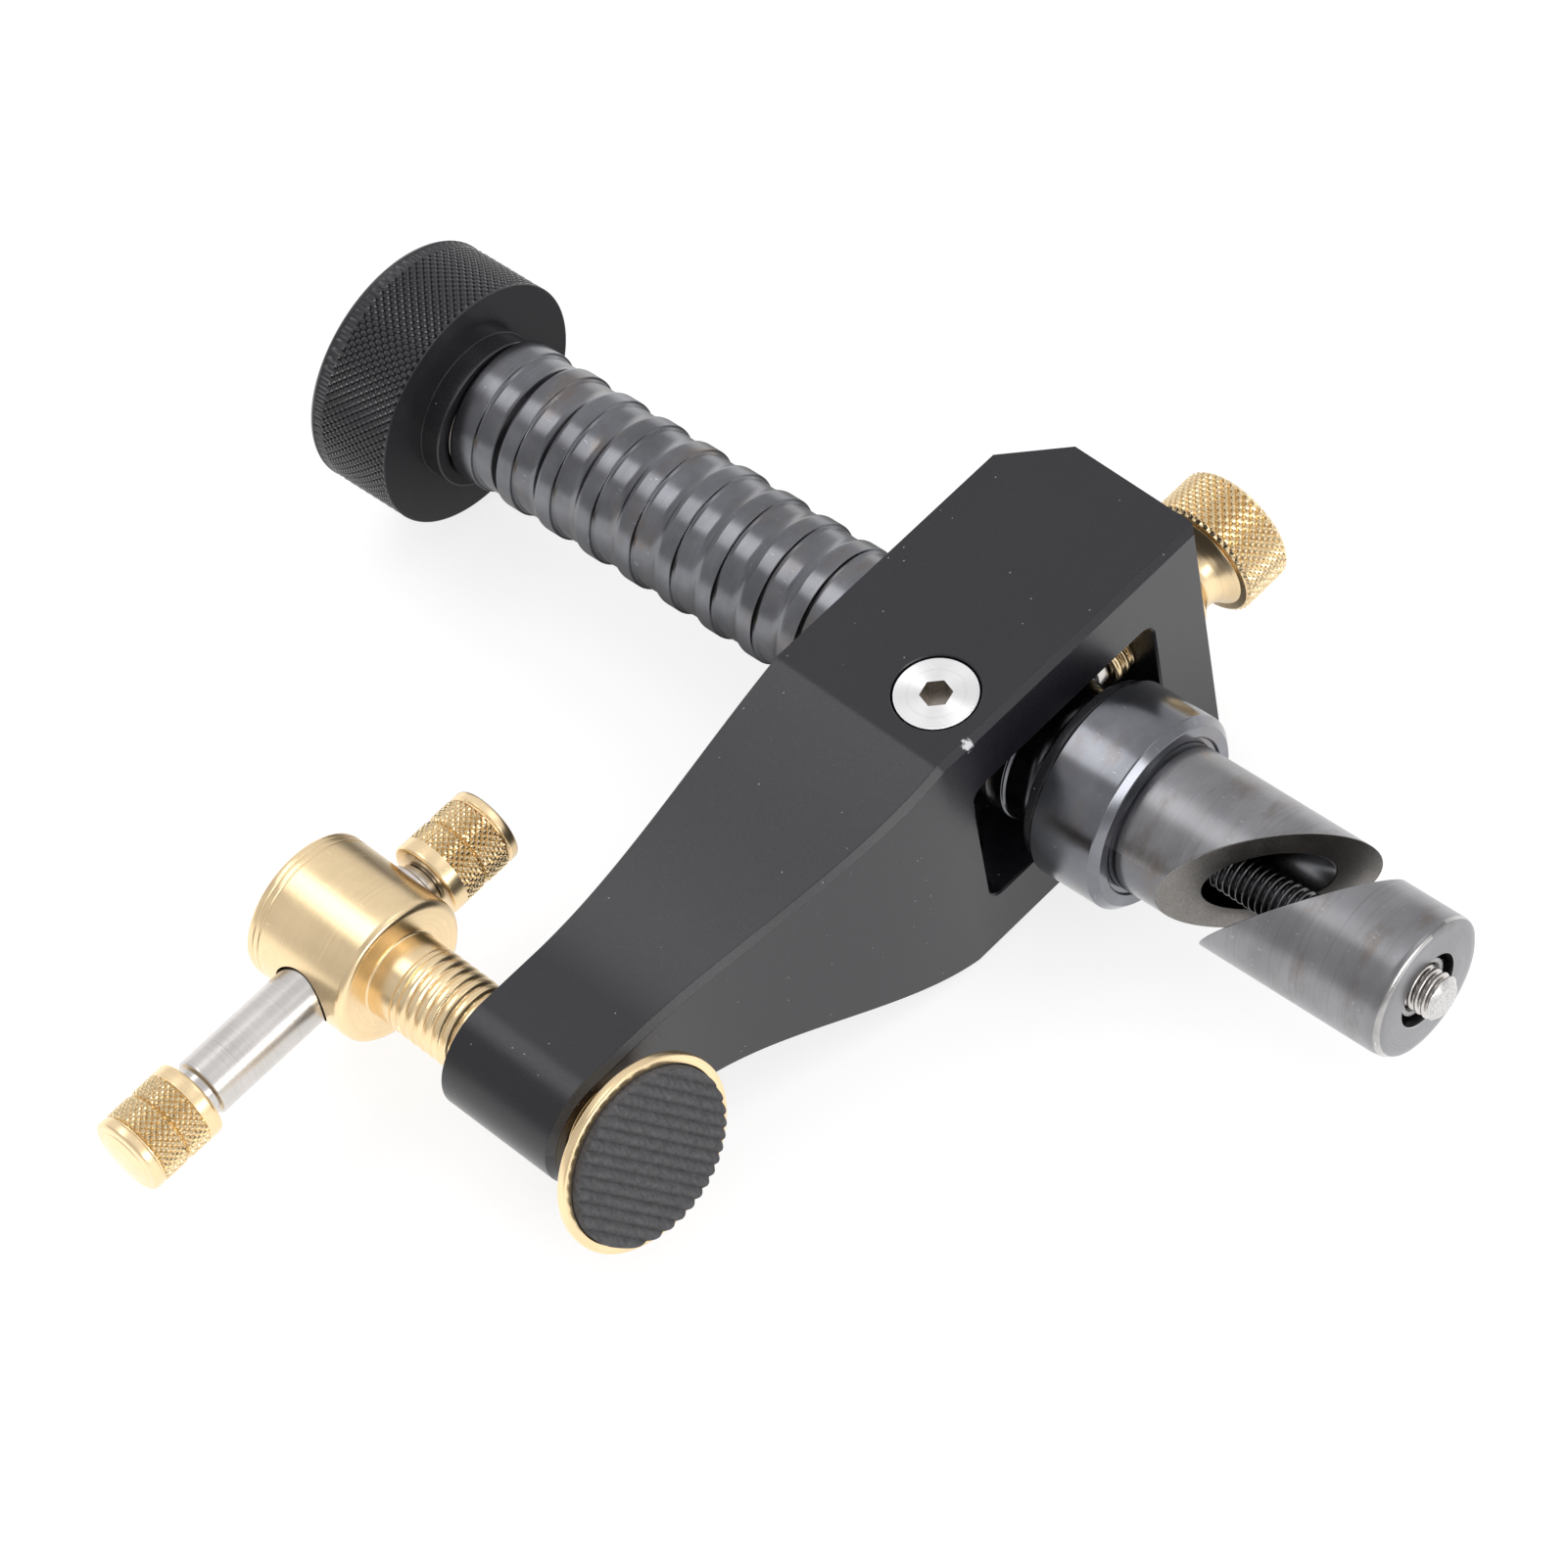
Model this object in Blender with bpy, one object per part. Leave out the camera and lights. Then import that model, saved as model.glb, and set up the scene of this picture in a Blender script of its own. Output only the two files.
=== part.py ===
import math

import bmesh
import bpy
from mathutils import Matrix, Vector

MM = 0.001

# Whole clamp: the post lies along X with its nose at +X, and the bench face of the collar is at X = 0
FIT = 0.3 * MM
ARM_LEAN = math.radians(-2.6)
ROD_DROP = 1.3 * MM
NOSE_SLOPE = math.radians(44.0)
BARREL_TWIST = math.radians(5.0)
NOSE_TWIST = math.radians(40.0)

# Collar and bumper washer
BARREL_RADIUS = 10.0 * MM
COLLAR_RADIUS = 13.4 * MM
COLLAR_HEIGHT = 10.2 * MM
COLLAR_EDGE = 1.0 * MM
COLLAR_INNER_EDGE = 0.4 * MM
BUMPER_RADIUS = 12.5 * MM
BUMPER_THICK = 1.3 * MM
BUMPER_EDGE = 0.3 * MM

# Post and barrel
POST_HEIGHT = 109.3 * MM
LAND_RADIUS = 9.95 * MM
NOTCH_DEPTH = 0.6 * MM
NOTCH_PITCH = 6.77 * MM
PLAIN_TOP = 6.6 * MM
SHOULDER_RUN = 2.8 * MM
SHOULDER_STEP = 0.35 * MM
RAMP_RUN = 1.6 * MM
BARREL_LENGTH = 16.2 * MM
BARREL_SEAT = 9.6 * MM
BORE_RADIUS = 5.9 * MM
TOP_CHAMFER = 0.5 * MM

# Knob, its threaded bush and its washer
KNOB_RADIUS = 17.1 * MM
KNOB_WIDTH = 13.4 * MM
KNOB_WALL = 2.2 * MM
KNOB_EDGE = 1.2 * MM
HUB_RADIUS = 10.3 * MM
HUB_HEIGHT = 3.0 * MM
HUB_EDGE = 0.3 * MM
BUSH_RADIUS = 5.5 * MM
BUSH_LENGTH = 9.0 * MM
WASHER_RADIUS = 8.2 * MM
WASHER_THICK = 1.0 * MM

# Draw rod, wedge nose and nut
ROD_RADIUS = 3.0 * MM
ROD_TRAVEL = 5.0 * MM
ROD_SHOWS = 2.6 * MM
ROD_CHAMFER = 0.7 * MM
NOSE_RADIUS = 9.7 * MM
NOSE_GAP = 5.9 * MM
NOSE_LENGTH = 19.2 * MM
NOSE_ROUND = 1.3 * MM
RECESS_RADIUS = 5.0 * MM
RECESS_DEPTH = 5.2 * MM
NUT_FLATS = 8.0 * MM
NUT_THICK = 4.0 * MM

# Catch screw across the block
CATCH_RISE = 8.3 * MM
CATCH_RADIUS = 2.0 * MM
CATCH_GAP = 0.15 * MM
CATCH_HEAD_RADIUS = 5.3 * MM
CATCH_LIP = 0.5 * MM
CATCH_SINK = 0.15 * MM
CATCH_END_WALL = 5.4 * MM
CATCH_SOCKET = 3.6 * MM
CATCH_SOCKET_DEPTH = 2.2 * MM

# Arm, in its own lean
ARM_GAP = 2.4 * MM
ARM_HEIGHT = 27.4 * MM
SIDE_WALL = 9.5 * MM
REAR_WALL = 9.5 * MM
FRONT_WALL = 3.7 * MM
SLOT_PLAY = 1.25 * MM
SLOT_REAR_PLAY = 5.35 * MM
SLOT_FRONT_PLAY = 2.05 * MM
SLOT_ROUND = 2.2 * MM
REAR_SLOPE = 7.1 * MM
REACH = 74.7 * MM
NECK = 9.1 * MM
TIP_RADIUS = 8.8 * MM
TIP_RISE = 8.7 * MM
LOWER_CHAMFER = 0.9 * MM

# Clamp screw
HEAD_RADIUS = 10.1 * MM
HEAD_HEIGHT = 16.6 * MM
HEAD_EDGE = 1.2 * MM
SCREW_OUT = 15.8 * MM
PLAIN_SHANK = 4.2 * MM
THREAD_RADIUS = 5.9 * MM
SHANK_RADIUS = 5.8 * MM
SHANK_SHOWS = 0.6 * MM
STUB_RADIUS = 3.0 * MM

# Sliding bar and its end knobs
BAR_RISE = 7.3 * MM
BAR_RADIUS = 4.0 * MM
BAR_LENGTH = 37.0 * MM
BAR_SLID = -8.55 * MM
BAR_EDGE = 0.4 * MM
NECK_RADIUS = 3.1 * MM
NECK_LENGTH = 1.1 * MM
PIN_RADIUS = 2.5 * MM
PIN_LENGTH = 7.5 * MM
TIP_KNOB_RADIUS = 5.3 * MM
TIP_KNOB_LENGTH = 11.2 * MM
TIP_KNOB_EDGE = 0.5 * MM
TIP_KNOB_DOME = 0.7 * MM
TIP_KNOB_MIDDLE = 5.6 * MM
TIP_KNOB_GROOVE = 0.35 * MM

# Swivel pad, measured from its pivot
PIVOT_DROP = 5.25 * MM
PAD_TILT = math.radians(10.5)
STUB_PAST = 0.65 * MM
CLIP_RADIUS = 4.5 * MM
CLIP_THICK = 0.8 * MM
CLIP_BITE = 0.7 * MM
CUP_RADIUS = 13.1 * MM
CUP_BEHIND = 2.95 * MM
CUP_AHEAD = 2.15 * MM
CUP_FLOOR = 1.5 * MM
CUP_RIM = 1.05 * MM
CUP_EDGE_THICK = 1.3 * MM
CUP_BACK_RADIUS = 8.0 * MM
TILT_ROOM = 0.8 * MM
POCKET_ROOM = 1.9 * MM
FACE_SEAT = 0.8 * MM
FACE_THICK = 2.1 * MM
RIB_COUNT = 14
RIB_DEPTH = 0.45 * MM
RIB_TURN = math.radians(-55.0)

# Thumb screw at the back of the block
LOCK_RISE = 8.3 * MM
LOCK_GAP = 0.7 * MM
LOCK_THREAD = 3.9 * MM
LOCK_TIP_RADIUS = 2.9 * MM
LOCK_TIP_LENGTH = 2.2 * MM
LOCK_TIP_EDGE = 0.4 * MM
LOCK_PEG_RADIUS = 1.4 * MM
LOCK_PEG_LENGTH = 2.5 * MM
LOCK_STANDS_OFF = 0.5 * MM
LOCK_FLANGE = 6.2 * MM
LOCK_FLANGE_THICK = 1.0 * MM
LOCK_NECK = 5.0 * MM
LOCK_NECK_LENGTH = 5.4 * MM
LOCK_FLARE = 7.0 * MM
LOCK_KNOB_RADIUS = 8.4 * MM
LOCK_KNOB_WIDTH = 7.6 * MM
LOCK_EDGE = 0.7 * MM

# Facets round a full turn
LARGE_TURN = 44
ROUND = 36
MEDIUM_TURN = 30
SMALL_TURN = 24


def arm_y(x, y):
    """Place along the arm of a point at height x that lies at y beside the post."""
    return (y - x * math.sin(ARM_LEAN)) / math.cos(ARM_LEAN)


# Heights and places that follow from the sizes above
BUMPER_BACK = -COLLAR_HEIGHT - FIT
HUB_FRONT = -POST_HEIGHT - FIT
KNOB_FRONT = HUB_FRONT - HUB_HEIGHT
KNOB_BACK = KNOB_FRONT - KNOB_WIDTH
WASHER_BACK = HUB_FRONT - WASHER_THICK
ROD_TOP = KNOB_BACK + KNOB_WALL + ROD_TRAVEL + FIT
NOSE_MIDDLE = BARREL_LENGTH + NOSE_GAP
NOSE_END = NOSE_MIDDLE + NOSE_LENGTH
ROD_END = NOSE_END + ROD_SHOWS
ARM_BOTTOM = BUMPER_BACK - BUMPER_THICK - ARM_GAP
ARM_TOP = ARM_BOTTOM - ARM_HEIGHT
CATCH_X = ARM_BOTTOM - CATCH_RISE
CATCH_Y = arm_y(CATCH_X, -LAND_RADIUS - CATCH_RADIUS - CATCH_GAP)
SLOT_HALF = LAND_RADIUS + SLOT_PLAY
SLOT_REAR = LAND_RADIUS + SLOT_REAR_PLAY
SLOT_FRONT = CATCH_Y - CATCH_RADIUS - SLOT_FRONT_PLAY
BLOCK_HALF = SLOT_HALF + SIDE_WALL
BLOCK_REAR = SLOT_REAR + REAR_WALL
BEND = SLOT_FRONT - FRONT_WALL
TAPER_LENGTH = BEND + REACH - NECK
TIP_BOTTOM = ARM_BOTTOM - TIP_RISE
HEAD_BOTTOM = ARM_TOP - SCREW_OUT
HEAD_TOP = HEAD_BOTTOM - HEAD_HEIGHT
BAR_X = HEAD_BOTTOM - BAR_RISE
PIVOT_X = TIP_BOTTOM + PIVOT_DROP
FACE_RADIUS = CUP_RADIUS - CUP_RIM - FIT
FACE_BACK = CUP_AHEAD - FACE_SEAT
FACE_FRONT = FACE_BACK + FACE_THICK
LOCK_X = ARM_BOTTOM - LOCK_RISE
LOCK_TIP_END = arm_y(LOCK_X, LAND_RADIUS + LOCK_GAP)
LOCK_FOOT = BLOCK_REAR + LOCK_STANDS_OFF
LOCK_KNOB_START = LOCK_FOOT + LOCK_FLANGE_THICK + LOCK_NECK_LENGTH


def make_material(name, colour, metal, rough):
    mat = bpy.data.materials.new(name)
    mat.use_nodes = True
    shader = mat.node_tree.nodes["Principled BSDF"]
    shader.inputs["Base Color"].default_value = (*colour, 1.0)
    shader.inputs["Metallic"].default_value = metal
    shader.inputs["Roughness"].default_value = rough
    return mat


def add_object(name, bm, mat, origin, turn=None):
    """Make an object from a body that is given about its own origin."""
    bmesh.ops.recalc_face_normals(bm, faces=bm.faces)
    mesh = bpy.data.meshes.new(name)
    bm.to_mesh(mesh)
    bm.free()
    obj = bpy.data.objects.new(name, mesh)
    bpy.context.scene.collection.objects.link(obj)
    place = Matrix.Translation(Vector(origin))
    if turn is not None:
        place = turn @ place
    obj.matrix_world = place
    if mat is not None:
        mesh.materials.append(mat)
    return obj


def hang(child, parent):
    """Let the child follow the parent from where it stands."""
    child.parent = parent
    child.matrix_parent_inverse = parent.matrix_world.inverted()


def soften(obj):
    """Smooth shading, with the real edges kept sharp."""
    obj.data.shade_smooth()
    obj.data.set_sharp_from_angle(angle=math.radians(28))
    return obj


def lathe(profile, axis, segments=ROUND):
    """Turn a loop of (along, radius) points about the axis."""
    bm = bmesh.new()
    spots = {"X": lambda a, r: (a, 0.0, r), "Y": lambda a, r: (0.0, a, r), "Z": lambda a, r: (r, 0.0, a)}
    turn = {"X": (1, 0, 0), "Y": (0, 1, 0), "Z": (0, 0, 1)}[axis]
    verts = [bm.verts.new(spots[axis](a, r)) for a, r in profile]
    edges = [bm.edges.new(pair) for pair in zip(verts, verts[1:])]
    if profile[0][1] > 0.0 and profile[-1][1] > 0.0:
        edges.append(bm.edges.new((verts[-1], verts[0])))
    bmesh.ops.spin(
        bm, geom=verts + edges, cent=(0, 0, 0), axis=turn, dvec=(0, 0, 0),
        angle=2 * math.pi, steps=segments, use_merge=True, use_duplicate=False,
    )
    bmesh.ops.remove_doubles(bm, verts=bm.verts, dist=0.0001 * MM)
    return bm


def rod_body(low, high, radius, axis, segments=ROUND):
    return lathe([(low, 0.0), (low, radius), (high, radius), (high, 0.0)], axis, segments)


def ring_body(low, high, inner, outer, axis, segments=ROUND):
    return lathe([(low, inner), (low, outer), (high, outer), (high, inner)], axis, segments)


def prism(points, axis, low, high):
    """Extrude a closed outline of (u, v) points along the axis from low to high."""
    bm = bmesh.new()
    spots = {"X": lambda u, v: (low, u, v), "Z": lambda u, v: (u, v, low)}
    way = {"X": (high - low, 0, 0), "Z": (0, 0, high - low)}[axis]
    face = bm.faces.new([bm.verts.new(spots[axis](u, v)) for u, v in points])
    new = bmesh.ops.extrude_face_region(bm, geom=[face])
    moved = [g for g in new["geom"] if isinstance(g, bmesh.types.BMVert)]
    bmesh.ops.translate(bm, verts=moved, vec=way)
    return bm


def hexagon(flats, turn=0.0):
    radius = flats / math.sqrt(3.0)
    angles = [turn + k * math.pi / 3 for k in range(6)]
    return [(radius * math.cos(a), radius * math.sin(a)) for a in angles]


def cut(obj, bm, origin=(0, 0, 0)):
    """Cut a body, given about a point of the object's own frame, out of the object."""
    cutter = add_object(obj.name + "_cutter", bm, None, (0, 0, 0))
    cutter.matrix_world = obj.matrix_world @ Matrix.Translation(Vector(origin))
    cutter.hide_render = True
    cutter.display_type = "WIRE"
    modifier = obj.modifiers.new("cut", "BOOLEAN")
    modifier.operation = "DIFFERENCE"
    modifier.solver = "EXACT"
    modifier.object = cutter


def slope_cutter(middle, radius, way, twist):
    """Wide block beyond the oblique plane, on the side that way gives, turned about the axis."""
    wide = 2.5 * radius
    run = wide * math.tan(NOSE_SLOPE)
    far = middle + way * 2 * run
    body = prism([(middle - run, -wide), (middle + run, wide), (far + run, wide), (far - run, -wide)],
                 "Z", -wide, wide)
    bmesh.ops.rotate(body, verts=body.verts, cent=(0, 0, 0), matrix=Matrix.Rotation(twist, 3, "X"))
    return body


def lean():
    """The arm and all that it carries lean together about the origin."""
    return Matrix.Rotation(ARM_LEAN, 4, "Z")


def post_profile():
    """Outer line of the post from its top, one sharp shoulder and one ramp for each notch."""
    top = -POST_HEIGHT
    points = [(top, BORE_RADIUS), (top, LAND_RADIUS - TOP_CHAMFER), (top + TOP_CHAMFER, LAND_RADIUS)]
    low = top + PLAIN_TOP
    while low + RAMP_RUN < -COLLAR_HEIGHT:
        edge = low - SHOULDER_RUN
        points += [(edge, LAND_RADIUS), (edge + SHOULDER_STEP, LAND_RADIUS - SHOULDER_STEP),
                   (low, LAND_RADIUS - NOTCH_DEPTH), (low + RAMP_RUN, LAND_RADIUS)]
        low += NOTCH_PITCH
    return points


def post(mat):
    """Notched post and obliquely cut barrel, turned in one and bored through."""
    end = BARREL_LENGTH + 2 * BARREL_RADIUS
    profile = post_profile()
    profile += [(-BARREL_SEAT, LAND_RADIUS), (-BARREL_SEAT, BARREL_RADIUS)]
    profile += [(end, BARREL_RADIUS), (end, BORE_RADIUS)]
    obj = add_object("post", lathe(profile, "X"), mat, (0, 0, 0))
    cut(obj, slope_cutter(BARREL_LENGTH, BARREL_RADIUS, 1, BARREL_TWIST))
    return soften(obj)


def collar(mat):
    """Bench collar with a chamfered rim."""
    bore = BARREL_RADIUS + FIT
    top = -COLLAR_HEIGHT
    top_edge = 0.4 * COLLAR_EDGE
    profile = [
        (top, bore), (top, COLLAR_RADIUS - top_edge), (top + top_edge, COLLAR_RADIUS),
        (-COLLAR_EDGE, COLLAR_RADIUS), (0.0, COLLAR_RADIUS - COLLAR_EDGE),
        (0.0, bore + COLLAR_INNER_EDGE), (-COLLAR_INNER_EDGE, bore),
    ]
    return soften(add_object("bench_collar", lathe(profile, "X"), mat, (0, 0, 0)))


def bumper_washer(mat):
    """Thin black washer that rests on the collar."""
    low = BUMPER_BACK - BUMPER_THICK
    inner = LAND_RADIUS + FIT
    profile = [
        (BUMPER_BACK, inner), (low, inner), (low, BUMPER_RADIUS - BUMPER_EDGE),
        (low + BUMPER_EDGE, BUMPER_RADIUS), (BUMPER_BACK - BUMPER_EDGE, BUMPER_RADIUS),
        (BUMPER_BACK, BUMPER_RADIUS - BUMPER_EDGE),
    ]
    return soften(add_object("bumper_washer", lathe(profile, "X"), mat, (0, 0, 0)))


def draw_rod(mat):
    """Threaded rod from the knob to past the nose."""
    thin = ROD_RADIUS - ROD_CHAMFER
    profile = [
        (ROD_TOP, 0.0), (ROD_TOP, thin), (ROD_TOP + ROD_CHAMFER, ROD_RADIUS),
        (ROD_END - ROD_CHAMFER, ROD_RADIUS), (ROD_END, thin), (ROD_END, 0.0),
    ]
    return soften(add_object("draw_rod", lathe(profile, "X", SMALL_TURN), mat, (0, -ROD_DROP, 0)))


def wedge_nose(mat):
    """Nose piece cut to the same slope as the barrel, with a recess for the nut."""
    hole = ROD_RADIUS + FIT
    start = NOSE_MIDDLE - 2 * NOSE_RADIUS
    profile = [(start, hole), (start, NOSE_RADIUS)]
    for k in range(5):
        t = k * math.pi / 8
        back, inward = NOSE_ROUND * (1 - math.sin(t)), NOSE_ROUND * (1 - math.cos(t))
        profile.append((NOSE_END - back, NOSE_RADIUS - inward))
    profile += [
        (NOSE_END, RECESS_RADIUS), (NOSE_END - RECESS_DEPTH, RECESS_RADIUS), (NOSE_END - RECESS_DEPTH, hole),
    ]
    obj = add_object("wedge_nose", lathe(profile, "X"), mat, (0, -ROD_DROP, 0))
    cut(obj, slope_cutter(NOSE_MIDDLE, NOSE_RADIUS, -1, NOSE_TWIST))
    return soften(obj)


def nose_nut(mat):
    """Hexagon nut that holds the nose on the rod."""
    low = NOSE_END - RECESS_DEPTH + FIT
    obj = add_object("nose_nut", prism(hexagon(NUT_FLATS), "X", low, low + NUT_THICK), mat, (0, -ROD_DROP, 0))
    cut(obj, rod_body(low - NUT_THICK, low + 2 * NUT_THICK, ROD_RADIUS + FIT, "X", SMALL_TURN))
    return obj


def thrust_washer(mat):
    """Washer between the knob's hub and the end of the post."""
    body = ring_body(WASHER_BACK, HUB_FRONT, ROD_RADIUS + FIT, WASHER_RADIUS, "X", SMALL_TURN)
    return soften(add_object("thrust_washer", body, mat, (0, -ROD_DROP, 0)))


def knob(mat):
    """Large round knob with a raised hub, bored for its bush."""
    seat = WASHER_BACK - FIT
    pocket = WASHER_RADIUS + FIT
    blind = KNOB_BACK + KNOB_WALL
    bore = BUSH_RADIUS + FIT
    inner_edge = 0.3 * KNOB_EDGE
    front_edge = 0.4 * KNOB_EDGE
    profile = [
        (KNOB_BACK, 0.0), (KNOB_BACK, KNOB_RADIUS - KNOB_EDGE),
        (KNOB_BACK + inner_edge, KNOB_RADIUS - inner_edge), (KNOB_BACK + KNOB_EDGE, KNOB_RADIUS),
        (KNOB_FRONT - front_edge, KNOB_RADIUS), (KNOB_FRONT, KNOB_RADIUS - front_edge),
        (KNOB_FRONT, HUB_RADIUS), (HUB_FRONT - HUB_EDGE, HUB_RADIUS), (HUB_FRONT, HUB_RADIUS - HUB_EDGE),
        (HUB_FRONT, pocket), (seat, pocket), (seat, bore), (blind, bore), (blind, 0.0),
    ]
    return soften(add_object("knob", lathe(profile, "X", LARGE_TURN), mat, (0, -ROD_DROP, 0)))


def knob_bush(mat):
    """Threaded bush pressed into the knob."""
    front = WASHER_BACK - 2 * FIT
    body = ring_body(front - BUSH_LENGTH, front, ROD_RADIUS + FIT, BUSH_RADIUS, "X", SMALL_TURN)
    return soften(add_object("knob_bush", body, mat, (0, -ROD_DROP, 0)))


def arm_width(y):
    """Half width of the arm: square block, hollow taper, round end."""
    if y >= BEND:
        return BLOCK_HALF
    if y < -REACH:
        return math.sqrt(TIP_RADIUS ** 2 - (y + REACH) ** 2)
    t = min((BEND - y) / TAPER_LENGTH, 1.0)
    blend = t + t ** 2 - t ** 3
    return BLOCK_HALF + (TIP_RADIUS - BLOCK_HALF) * blend


def arm_floor(y):
    """Height of the arm's underside, which rises toward the tip."""
    t = min(max((BEND - y) / TAPER_LENGTH, 0.0), 1.0)
    return ARM_BOTTOM + (TIP_BOTTOM - ARM_BOTTOM) * (3 * t ** 2 - 2 * t ** 3)


def arm_roof(y):
    """Height of the arm's upper side, sloped down at the rear."""
    return ARM_TOP + max(0.0, y - (BLOCK_REAR - REAR_SLOPE))


def arm_stations():
    """Places along the arm where its outline has a point."""
    steps = 14
    end_steps = 12
    stations = [BLOCK_REAR, BLOCK_REAR - REAR_SLOPE, BEND]
    stations += [BEND - TAPER_LENGTH * k / steps for k in range(1, steps + 1)]
    stations += [-REACH - TIP_RADIUS * math.sin(0.5 * math.pi * k / end_steps) for k in range(end_steps)]
    return stations


def inset_outline(outline, amount):
    """Move each point of the half outline inward along its own normal."""
    inner = []
    for i, (y, z) in enumerate(outline):
        before = outline[max(i - 1, 0)]
        after = outline[min(i + 1, len(outline) - 1)]
        if i == 0:
            inner.append((y - amount, z - amount))
            continue
        along = Vector((after[0] - before[0], after[1] - before[1])).normalized()
        inner.append((y - along.y * amount, z + along.x * amount))
    return inner


def arm_body():
    """Rings of paired points, joined into walls, lower chamfer, roof and floor."""
    bm = bmesh.new()
    outline = [(y, arm_width(y)) for y in arm_stations()]
    inner = inset_outline(outline, LOWER_CHAMFER)
    tip = -REACH - TIP_RADIUS

    def ring(points, height, end):
        pairs = [[bm.verts.new((height(y), y, side * z)) for side in (1, -1)] for y, z in points]
        return pairs, bm.verts.new((height(end), end, 0.0))

    rings = [
        ring(outline, arm_roof, tip),
        ring(outline, lambda y: arm_floor(y) - LOWER_CHAMFER, tip),
        ring(inner, arm_floor, tip + LOWER_CHAMFER),
    ]
    for (upper, upper_tip), (lower, lower_tip) in zip(rings, rings[1:]):
        bm.faces.new((upper[0][0], upper[0][1], lower[0][1], lower[0][0]))
        for side in (0, 1):
            for i in range(len(upper) - 1):
                bm.faces.new((upper[i][side], upper[i + 1][side], lower[i + 1][side], lower[i][side]))
            bm.faces.new((upper[-1][side], upper_tip, lower_tip, lower[-1][side]))
    for pairs, end in (rings[0], rings[2]):
        for i in range(len(pairs) - 1):
            bm.faces.new((pairs[i][0], pairs[i][1], pairs[i + 1][1], pairs[i + 1][0]))
        bm.faces.new((pairs[-1][0], pairs[-1][1], end))
    return bm


def slot_outline():
    """Rectangle with round corners, seen along the post."""
    points = []
    front, rear, half = SLOT_FRONT, SLOT_REAR, SLOT_HALF
    corners = ((rear, half), (front, half), (front, -half), (rear, -half))
    for quarter, (y, z) in enumerate(corners):
        middle_y = y - math.copysign(SLOT_ROUND, y)
        middle_z = z - math.copysign(SLOT_ROUND, z)
        for k in range(5):
            t = (quarter + k / 4) * math.pi / 2
            points.append((middle_y + SLOT_ROUND * math.cos(t), middle_z + SLOT_ROUND * math.sin(t)))
    return points


def catch_hole():
    """Countersunk blind hole for the catch screw."""
    wide = CATCH_HEAD_RADIUS + FIT
    thin = CATCH_RADIUS + FIT
    lip = BLOCK_HALF - CATCH_SINK - CATCH_LIP
    low = -BLOCK_HALF + CATCH_END_WALL - FIT
    profile = [
        (low, 0.0), (low, thin), (lip - (wide - thin), thin), (lip, wide),
        (BLOCK_HALF + wide, wide), (BLOCK_HALF + wide, 0.0),
    ]
    return lathe(profile, "Z", MEDIUM_TURN)


def arm(mat):
    """One-piece arm: slotted block, tapered neck and round screw boss."""
    body = arm_body()
    bmesh.ops.translate(body, verts=body.verts, vec=(-CATCH_X, -CATCH_Y, 0))
    obj = add_object("arm", body, mat, (CATCH_X, CATCH_Y, 0), lean())
    past = ARM_HEIGHT
    slot = prism(slot_outline(), "X", ARM_TOP - past, ARM_BOTTOM + past)
    cut(obj, slot, (-CATCH_X, -CATCH_Y, 0))
    bore = rod_body(ARM_TOP - past, ARM_BOTTOM + past, THREAD_RADIUS + FIT, "X", MEDIUM_TURN)
    cut(obj, bore, (-CATCH_X, -REACH - CATCH_Y, 0))
    lock_hole = rod_body(0.5 * SLOT_REAR, BLOCK_REAR + REAR_WALL, LOCK_THREAD + FIT, "Y", SMALL_TURN)
    cut(obj, lock_hole, (LOCK_X - CATCH_X, -CATCH_Y, 0))
    cut(obj, catch_hole())
    return soften(obj)


def catch_screw(mat):
    """Countersunk socket screw that crosses the slot and meets the notches."""
    low = -BLOCK_HALF + CATCH_END_WALL
    top = BLOCK_HALF - CATCH_SINK
    lip = top - CATCH_LIP
    profile = [
        (low, 0.0), (low, CATCH_RADIUS), (lip - (CATCH_HEAD_RADIUS - CATCH_RADIUS), CATCH_RADIUS),
        (lip, CATCH_HEAD_RADIUS), (top, CATCH_HEAD_RADIUS), (top, 0.0),
    ]
    obj = add_object("catch_screw", lathe(profile, "Z", MEDIUM_TURN), mat, (CATCH_X, CATCH_Y, 0), lean())
    socket = hexagon(CATCH_SOCKET, math.radians(15))
    cut(obj, prism(socket, "Z", top - CATCH_SOCKET_DEPTH, top + CATCH_SOCKET_DEPTH))
    return soften(obj)


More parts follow.
